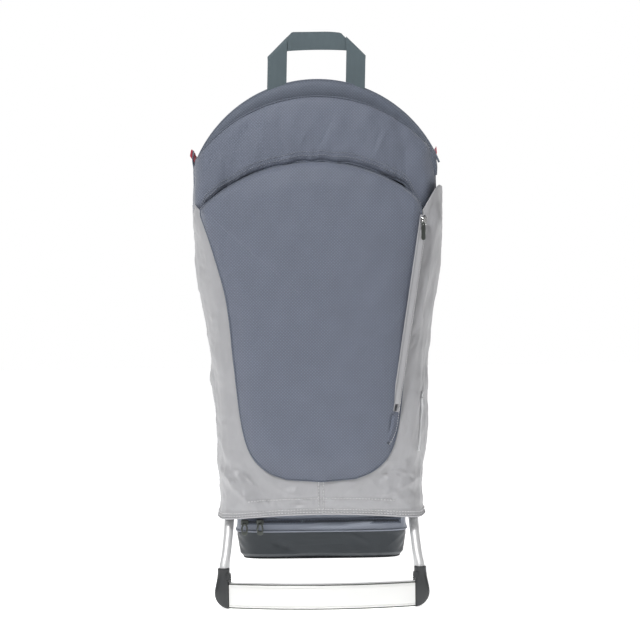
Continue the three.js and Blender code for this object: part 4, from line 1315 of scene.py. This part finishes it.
def make_back_sheet():
    """The stiff sheet behind the wearer's pads, covered in dark cloth with a bound edge."""
    low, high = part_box("back_sheet")
    width, height = high.x - low.x, high.z - low.z
    centre = (0, (low.z + high.z) / 2)
    outline = rounded(width, height, 0.060, centre, 14)
    sheet = cut_out("back_panel_cloth", outline, low.y - 0.0002, high.y + 0.0002, "charcoal", 0.0006)
    place(sheet, ROOT, "charcoal_fabric", ["back_sheet"])
    edge = np.array([(x, (low.y + high.y) / 2, z) for x, z in outline + outline[:1]])
    place(sweep("back_panel_binding", resample(edge, 0.005), (0, 1, 0),
                band_section(0.0052, 0.0030, 0.8, 14), "black_webbing"), ROOT, "black_webbing")
    for row, inset in (("outer", 0.010), ("inner", 0.014)):
        path = [(x, high.y + 0.0003, z)
                for x, z in rounded(width - 2 * inset, height - 2 * inset, 0.060 - inset, centre, 14)]
        stitching("back_panel_stitches_" + row, np.array(path + path[:1]), (0, 1, 0), "grey_thread",
                  ROOT, "charcoal_fabric", 0.0046)


def make_child_harness():
    for side, name in ((1, "right"), (-1, "left")):
        y = -0.1283
        node_webbing(name + "_child_strap", name + "_child_webbing", 0.0245, (1, 0, 0),
                     ends=((side * 0.048, y, 0.585), (side * 0.014, y, 0.344)), bow=(0, 0.0015, 0))
        pad_path = smooth_path([(side * 0.0460, y + 0.003, 0.570), (side * 0.0385, y + 0.0045, 0.520),
                                (side * 0.0310, y + 0.0045, 0.466), (side * 0.0265, y + 0.003, 0.434)],
                               0.004)
        pad = sweep(name + "_child_strap_pad", pad_path, (1, 0, 0), band_section(0.036, 0.0075, 0.55, 28),
                    "lining")
        place(pad, ROOT, "charcoal_fabric")
    node_webbing("child_crotch_strap", "child_crotch_webbing", 0.0245, (1, 0, 0),
                 ends=((0, -0.1276, 0.226), (0, -0.1276, 0.3105)))
    eased("child_buckle", "child_buckle_moulding", "black", "black_plastic", 0.0018, 4)
    eased("child_buckle_button", "child_buckle_press", "red_plastic", "red_plastic", 0.0010, 4)


# ---- storage bag --------------------------------------------------------------------------
def bag_shell(name, levels, material, folds, seed):
    """A soft box through loops at each height, (z, half width, front, back); folds lift its front."""
    heights, halves, fronts, backs = (np.array(v) for v in zip(*levels))
    zs = np.linspace(heights[0], heights[-1], 40)
    angles = np.linspace(0, 2 * math.pi, 260, endpoint=False)
    c = np.sign(np.cos(angles)) * np.abs(np.cos(angles)) ** 0.4
    q = np.sign(np.sin(angles)) * np.abs(np.sin(angles)) ** 0.4
    rings = []
    for z in zs:
        half, front, back = (np.interp(z, heights, v) for v in (halves, fronts, backs))
        rings.append(np.stack([half * c, (front + back) / 2 + (back - front) / 2 * q, c * 0 + z], 1))
    grid = np.array(rings)
    x, y, z = grid[..., 0], grid[..., 1], grid[..., 2]
    lift = folds(x, z)
    lift += creases(x, z, 22, (-0.11, 0.11), (zs[0], zs[-1]), (0.02, 0.06), (0.3, 2.8), 0.0016, seed)
    edge = np.minimum(z - zs[0], zs[-1] - z) / 0.006
    lift = np.clip(lift, -0.004, 0.004) * np.clip(edge, 0, 1)
    grid[..., 1] -= lift * np.clip(-q, 0, 1)[None, :]
    on_side = np.sign(x) * np.clip(np.abs(c), 0, 1)[None, :] ** 6
    grid[..., 0] += 0.0012 * hash_noise(y * 60, z * 60, seed) * on_side
    centre = grid.mean(1, keepdims=True)
    grid = np.concatenate([centre[:1] + (grid[:1] - centre[:1]) * 0.5, grid,
                           centre[-1:] + (grid[-1:] - centre[-1:]) * 0.5])
    return closed_loft(name, grid, material)


def make_bag():
    # the bag's upper cloth in the slate painted lighter: painted light against the shade under the cover
    top = bag_shell("storage_bag_cloth", [(0.1000, 0.1165, -0.1310, 0.004), (0.145, 0.114, -0.1300, 0.004),
                                          (0.190, 0.109, -0.128, 0.000)], "bag_slate_painted_light",
                    lambda x, z: 0.0035 * ridge(z - 0.108 - 0.10 * (x - 0.03), 0.004) * ridge(x - 0.05, 0.05)
                    + 0.003 * ridge(z - 0.112 + 0.2 * (x + 0.02), 0.004) * ridge(x, 0.04), 41)
    place(top, ROOT, "slate_fabric", ["storage_bag"])
    base = bag_shell("bag_base_cloth", [(0.0610, 0.1050, -0.114, -0.010), (0.068, 0.1115, -0.122, -0.003),
                                        (0.0997, 0.1165, -0.131, 0.004)], "charcoal",
                     lambda x, z: 0.004 * ridge((z - 0.096) - 0.50 * (x + 0.112), 0.005) * (x < -0.04)
                     + 0.004 * ridge((z - 0.096) + 0.50 * (x - 0.112), 0.005) * (x > 0.04)
                     - 0.003 * ridge((z - 0.063) + 0.12 * np.abs(x), 0.006), 43)
    place(base, ROOT, "charcoal_fabric", ["bag_base"])
    # its seam piping in the same painted-light slate
    piping("bag_seam_piping", bag_loop(0.0998, 0.1165, 0.0006), 0.0013, "bag_slate_painted_light", slot="slate_fabric")
    lower = bag_loop(0.0625, 0.1062, 0.0004, front=-0.1155, back=-0.0085)
    piping("bag_base_binding", lower, 0.0015, "black_webbing", slot="black_webbing")
    tape_low, tape_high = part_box("bag_zip_tape")
    height = (tape_low.z + tape_high.z) / 2
    t = np.linspace(-0.108, 0.108, 50)
    tape = sweep("bag_zip_cloth", np.stack([t, np.full(50, tape_high.y - 0.0004), np.full(50, height)], 1),
                 (0, 0, 1), band_section(0.0080, 0.0014, 0.4, 16), "slate_dark")
    place(tape, ROOT, "charcoal_fabric")
    zip_teeth("bag_zip_teeth", (-0.107, tape_low.y + 0.0008, height), (0.107, tape_low.y + 0.0008, height),
              0.0042, "bag_zip_tape")
    for slider in ("outer", "inner"):
        eased("bag_zip_slider_" + slider, "bag_slider_" + slider, "gunmetal", "dark_metal", 0.0012)
        make_pull(slider)


def bag_loop(z, half, out, front=-0.131, back=0.004):
    points = []
    for a in np.linspace(0, 2 * math.pi, 160):
        points.append(((half + out) * squared(math.cos(a), 0.4),
                       (front + back) / 2 + ((back - front) / 2 + out) * squared(math.sin(a), 0.4), z))
    return resample(points, 0.004)


def make_pull(slider):
    """A moulded cord pull, hanging from its slider as a narrow loop."""
    low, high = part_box("bag_zip_pull_" + slider)
    x, y = (low.x + high.x) / 2, (low.y + high.y) / 2
    low.z = high.z - 0.0170
    loop = smooth_path([(x - 0.0008, y, high.z - 0.001), (x - 0.0030, y, high.z - 0.006),
                        (x - 0.0034, y, low.z + 0.007), (x - 0.0022, y, low.z + 0.0022),
                        (x, y, low.z + 0.0008), (x + 0.0022, y, low.z + 0.0022),
                        (x + 0.0034, y, low.z + 0.007), (x + 0.0030, y, high.z - 0.006),
                        (x + 0.0008, y, high.z - 0.001)], 0.0012)
    cord = sweep("bag_pull_cord_" + slider, loop, (0, 1, 0), round_section(0.0013, 10), "gunmetal")
    place(cord, body_of("bag_zip_pull_" + slider), "black_plastic", ["bag_zip_pull_" + slider])
    grip = cut_out("bag_pull_grip_" + slider, rounded(0.0086, 0.0050, 0.0022, (x, low.z + 0.0028)),
                   y - 0.0012, y + 0.0012, "gunmetal", 0.0006)
    place(grip, body_of("bag_zip_pull_" + slider), "black_plastic")


def zip_teeth(name, start, end, width, node, pitch=0.0021, normal=(0, -1, 0)):
    """Two interlocked rows of teeth along a line."""
    start, end, n = np.asarray(start, float), np.asarray(end, float), unit(normal)
    along = unit(end - start)
    across = np.cross(along, n)
    vertices, faces = [], []
    for i in range(int(np.linalg.norm(end - start) / pitch)):
        for row in (-1, 1):
            centre = start + along * (i + 0.25 * row + 0.5) * pitch + across * row * width * 0.20
            size = (along * pitch * 0.21, across * width * 0.30, n * 0.0007)
            base = len(vertices)
            for a in (-1, 1):
                for b in (-1, 1):
                    for c, shrink in ((-1, 1.0), (1, 0.75)):
                        vertices.append(centre + size[0] * a * shrink + size[1] * b * shrink + size[2] * c)
            for face in ((0, 1, 3, 2), (4, 6, 7, 5), (0, 4, 5, 1), (2, 3, 7, 6), (0, 2, 6, 4), (1, 5, 7, 3)):
                faces.append(tuple(base + k for k in face))
    teeth = new_object(name, vertices, faces, "zip", smooth=False)
    return place(teeth, ROOT, "zip_coil", [node])


# ---- pocket zip ---------------------------------------------------------------------------
ZIP_TOP = (0.143, 0.525)  # x, z
ZIP_LOW = (0.101, 0.262)


def make_pocket_zip():
    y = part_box("pocket_zip_tape")[0].y
    t = np.linspace(0, 1, 60)[:, None]
    straight = np.array((ZIP_TOP[0], y, ZIP_TOP[1])) * (1 - t) + np.array((ZIP_LOW[0], y, ZIP_LOW[1])) * t
    tail = smooth_path([(ZIP_LOW[0], y, ZIP_LOW[1]), (0.0985, y + 0.0006, 0.245), (0.0945, y + 0.0012, 0.231),
                        (0.0880, y + 0.0020, 0.2195)], 0.004)
    line = resample(np.vstack([straight, tail[1:]]), 0.005)
    across = unit(np.array((0.95, 0.28, -0.15)))
    cloth = sweep("pocket_zip_cloth", straight + (0, 0.0012, 0), across,
                  band_section(0.0110, 0.0010, 0.4, 16), "grey")
    place(cloth, ROOT, "grey_fabric")
    zip_teeth("pocket_zip_teeth", straight[0], straight[-1], 0.0040, "pocket_zip_tape", 0.0019)
    # the placket: a folded lip of the cover that hides most of the teeth
    lip = line[4:] + across * 0.0010 + np.array((0, -0.0010, 0))
    upper, lower = lip[lip[:, 2] > 0.270], lip[lip[:, 2] < 0.262]
    place(sweep("pocket_zip_placket", upper, across, band_section(0.0068, 0.0012, 0.6, 18), "grey"),
          ROOT, "grey_fabric")
    place(sweep("pocket_zip_garage", lower - across * 0.0030, across, band_section(0.0048, 0.0014, 0.6, 18),
                "slate"), ROOT, "slate_fabric")
    piping("pocket_zip_seam", lower - across * 0.0070 + (0, -0.0006, 0), 0.0007, "slate_dark",
           slot="dark_slate_fabric")
    stitching("pocket_placket_stitches", lip + across * 0.0042 + np.array((0, -0.0007, 0)), (0, -1, 0),
              "grey_thread", ROOT, "grey_fabric")
    end = line[-1]
    tack = np.array([end + np.array((dx, -0.0022, dz)) for dx, dz in
                     ((-0.004, 0.003), (0.004, 0.001), (-0.004, 0.0015), (0.004, -0.0005), (-0.004, 0.0))])
    stitching("pocket_zip_bar_tack", tack, (0, -1, 0), "dark_thread", ROOT, "grey_fabric", 0.0022, 0.0019,
              0.0004)
    eased("pocket_zip_slider", "pocket_slider_body", "steel", "zip_steel", 0.0012)
    low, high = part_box("pocket_zip_slider")
    x, z = (low.x + high.x) / 2, (low.z + high.z) / 2
    bridge = smooth_path([(x, low.y + 0.0006, z + 0.0048), (x, low.y - 0.0012, z + 0.0036),
                          (x, low.y - 0.0016, z), (x, low.y - 0.0012, z - 0.0036),
                          (x, low.y + 0.0006, z - 0.0048)], 0.0008)
    place(sweep("pocket_slider_bridge", bridge, (1, 0, 0), band_section(0.0032, 0.0012, 0.6, 14), "steel"),
          body_of("pocket_zip_slider"), "zip_steel")
    low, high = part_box("pocket_zip_pull")
    x, y = (low.x + high.x) / 2, (low.y + high.y) / 2
    eased("pocket_zip_pull", "pocket_pull_tab", "gunmetal", "dark_metal", 0.0005)
    ring = [(x + 0.0021 * math.sin(a), y - 0.0003, high.z - 0.0008 + 0.0030 * math.cos(a))
            for a in np.linspace(0, 2 * math.pi, 30)]
    place(sweep("pocket_pull_ring", np.array(ring), (0, 1, 0), round_section(0.0006, 10), "steel"),
          body_of("pocket_zip_pull"), "zip_steel")


# ---- stitching and piping on the cover ----------------------------------------------------
SEAM_THREAD = (0.0042, 0.0027, 0.0007)  # pitch, length and radius of a stitch


def make_cover_details(skin):
    """skin is the cover's grid of points: rows of height, columns from its left rear round to its right."""
    columns = skin.shape[1]
    middle = columns // 2
    levels = skin[:, middle, 2]

    def row(z, first=2, last=None, out=0.0004):
        index = int(np.argmin(np.abs(levels - z)))
        line = skin[index, first:last or columns - 2].copy()
        side = unit(np.cross(tangents(line), (0, 0, 1)))
        return line + side * out, side

    for name, z in (("hem_stitches_low", HEM_TOP - 0.0022), ("hem_stitches_high", HEM_TOP + 0.0012)):
        line, side = row(z)
        stitching(name, line, side[len(side) // 2], "grey_thread", ROOT, "grey_fabric", *SEAM_THREAD)
    binding, side = row(levels[0] + 0.0008)
    piping("hem_binding", binding, 0.0011, "grey_tape", slot="grey_fabric")
    line, side = row(SKIRT_LINE_Z)
    line = line[np.abs(line[:, 0]) < 0.098]
    stitching("skirt_stitches", line, (0, -1, 0), "grey_thread", ROOT, "grey_fabric", *SEAM_THREAD)
    for offset in (-0.0032, 0.0032):
        seam = []
        for z in np.linspace(HEM_TOP + 0.002, 0.168, 24):
            index = int(np.argmin(np.abs(levels - z)))
            column = int(np.argmin(np.abs(skin[index, :, 0] - offset) + (skin[index, :, 1] > -0.1)))
            seam.append((offset, skin[index, column, 1] - 0.0003, z))
        stitching(f"centre_seam_stitches_{'right' if offset > 0 else 'left'}", np.array(seam), (0, -1, 0),
                  "grey_thread", ROOT, "grey_fabric", *SEAM_THREAD)
    # pale piping down the right side, over the side pocket's edge
    trail = smooth_path([(0.1385, 0, 0.278), (0.1370, 0, 0.256), (0.1355, 0, 0.236), (0.1335, 0, 0.216),
                         (0.1305, 0, 0.200)], 0.003)
    points = []
    for x, _, z in trail[::4]:
        index = int(np.argmin(np.abs(levels - z)))
        candidates = np.where(skin[index, :, 0] > 0)[0]
        candidates = candidates[skin[index, candidates, 1] < -0.075]
        column = candidates[int(np.argmin(np.abs(skin[index, candidates, 0] - x)))]
        points.append(skin[index, column] + (0.0006, -0.0010, 0))
    piping("side_pocket_piping", smooth_path(points, 0.002), 0.0018, "reflective", slot="grey_fabric")


# ---- grab handle --------------------------------------------------------------------------
HANDLE = {"inner": 0.040, "outer": 0.066, "top": 0.7755, "fold": 0.033, "band": 0.025, "y": -0.146}


def make_grab_handle():
    """One length of webbing: two legs, each folded on the slant into the top run behind them."""
    h = HANDLE
    parts = []
    for side in (1, -1):
        columns, rows = 14, 44
        across = np.linspace(h["inner"], h["outer"], columns)[None, :] * np.ones((rows, 1))
        foot = arc_height(CROWN, across) - 0.006
        top = np.minimum(h["top"] - h["fold"] + (h["outer"] - across), h["top"])
        share = (1 - (1 - np.linspace(0, 1, rows)) ** 1.6)[:, None]
        z = foot + share * (top - foot)
        to_fold = (top - z) / math.sqrt(2)
        y = h["y"] - 0.0010 + 0.0016 * np.exp(-(to_fold / 0.0022) ** 2) + 0.0006 * np.sin(z * 90 + side)
        lean = 0.0015 * np.clip((z - 0.70) / 0.05, 0, 1)
        leg = np.stack([side * across + lean, y, z], -1)
        parts.append(sheet_object(f"handle_leg_{side}", leg, "webbing", 0.0017, offset=0))
    columns, rows = 60, 14
    x = np.linspace(-0.064, 0.064, columns)[None, :] * np.ones((rows, 1))
    top = np.minimum(h["top"], h["top"] - h["fold"] + (h["outer"] - np.abs(x))) - 0.0004
    top = top - 0.0022 * np.clip((x - 0.010) / 0.025, 0, 1) ** 2
    low = np.minimum(h["top"] - h["band"] - 0.0010 + 0.0012 * (1 - (x / 0.04) ** 2), top - 0.001)
    z = low + np.linspace(0, 1, rows)[:, None] * (top - low)
    y = h["y"] + 0.0010 - 0.0012 * (1 - (x / 0.066) ** 2) * (np.abs(x) < 0.038)
    parts.append(sheet_object("handle_top", np.stack([x + 0.0015, y, z], -1), "webbing", 0.0017, offset=0))
    bm = bmesh.new()
    for part in parts:
        bm.from_mesh(part.data)
    mesh = bpy.data.meshes.new("grab_handle_webbing")
    bm.to_mesh(mesh)
    bm.free()
    for polygon in mesh.polygons:
        polygon.use_smooth = True
    mesh.set_sharp_from_angle(angle=math.radians(50))
    mesh.materials.append(M["webbing"])
    for part in parts:
        bpy.data.objects.remove(part)
    handle = bpy.data.objects.new("grab_handle_webbing", mesh)
    bpy.context.scene.collection.objects.link(handle)
    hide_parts("grab_handle")
    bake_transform(handle)


# ---- the whole carrier --------------------------------------------------------------------
make_camera()
make_studio()
skin = make_cover()
make_cover_details(skin)
make_pocket_panel()
make_pocket_zip()
make_head_panel()
make_head_rim()
make_head_lining()
for side in (1, -1):
    make_wing(side)
make_grab_handle()
make_frame()
make_stand()
make_bag()
make_pads()
make_back_sheet()
make_harness()
make_child_harness()
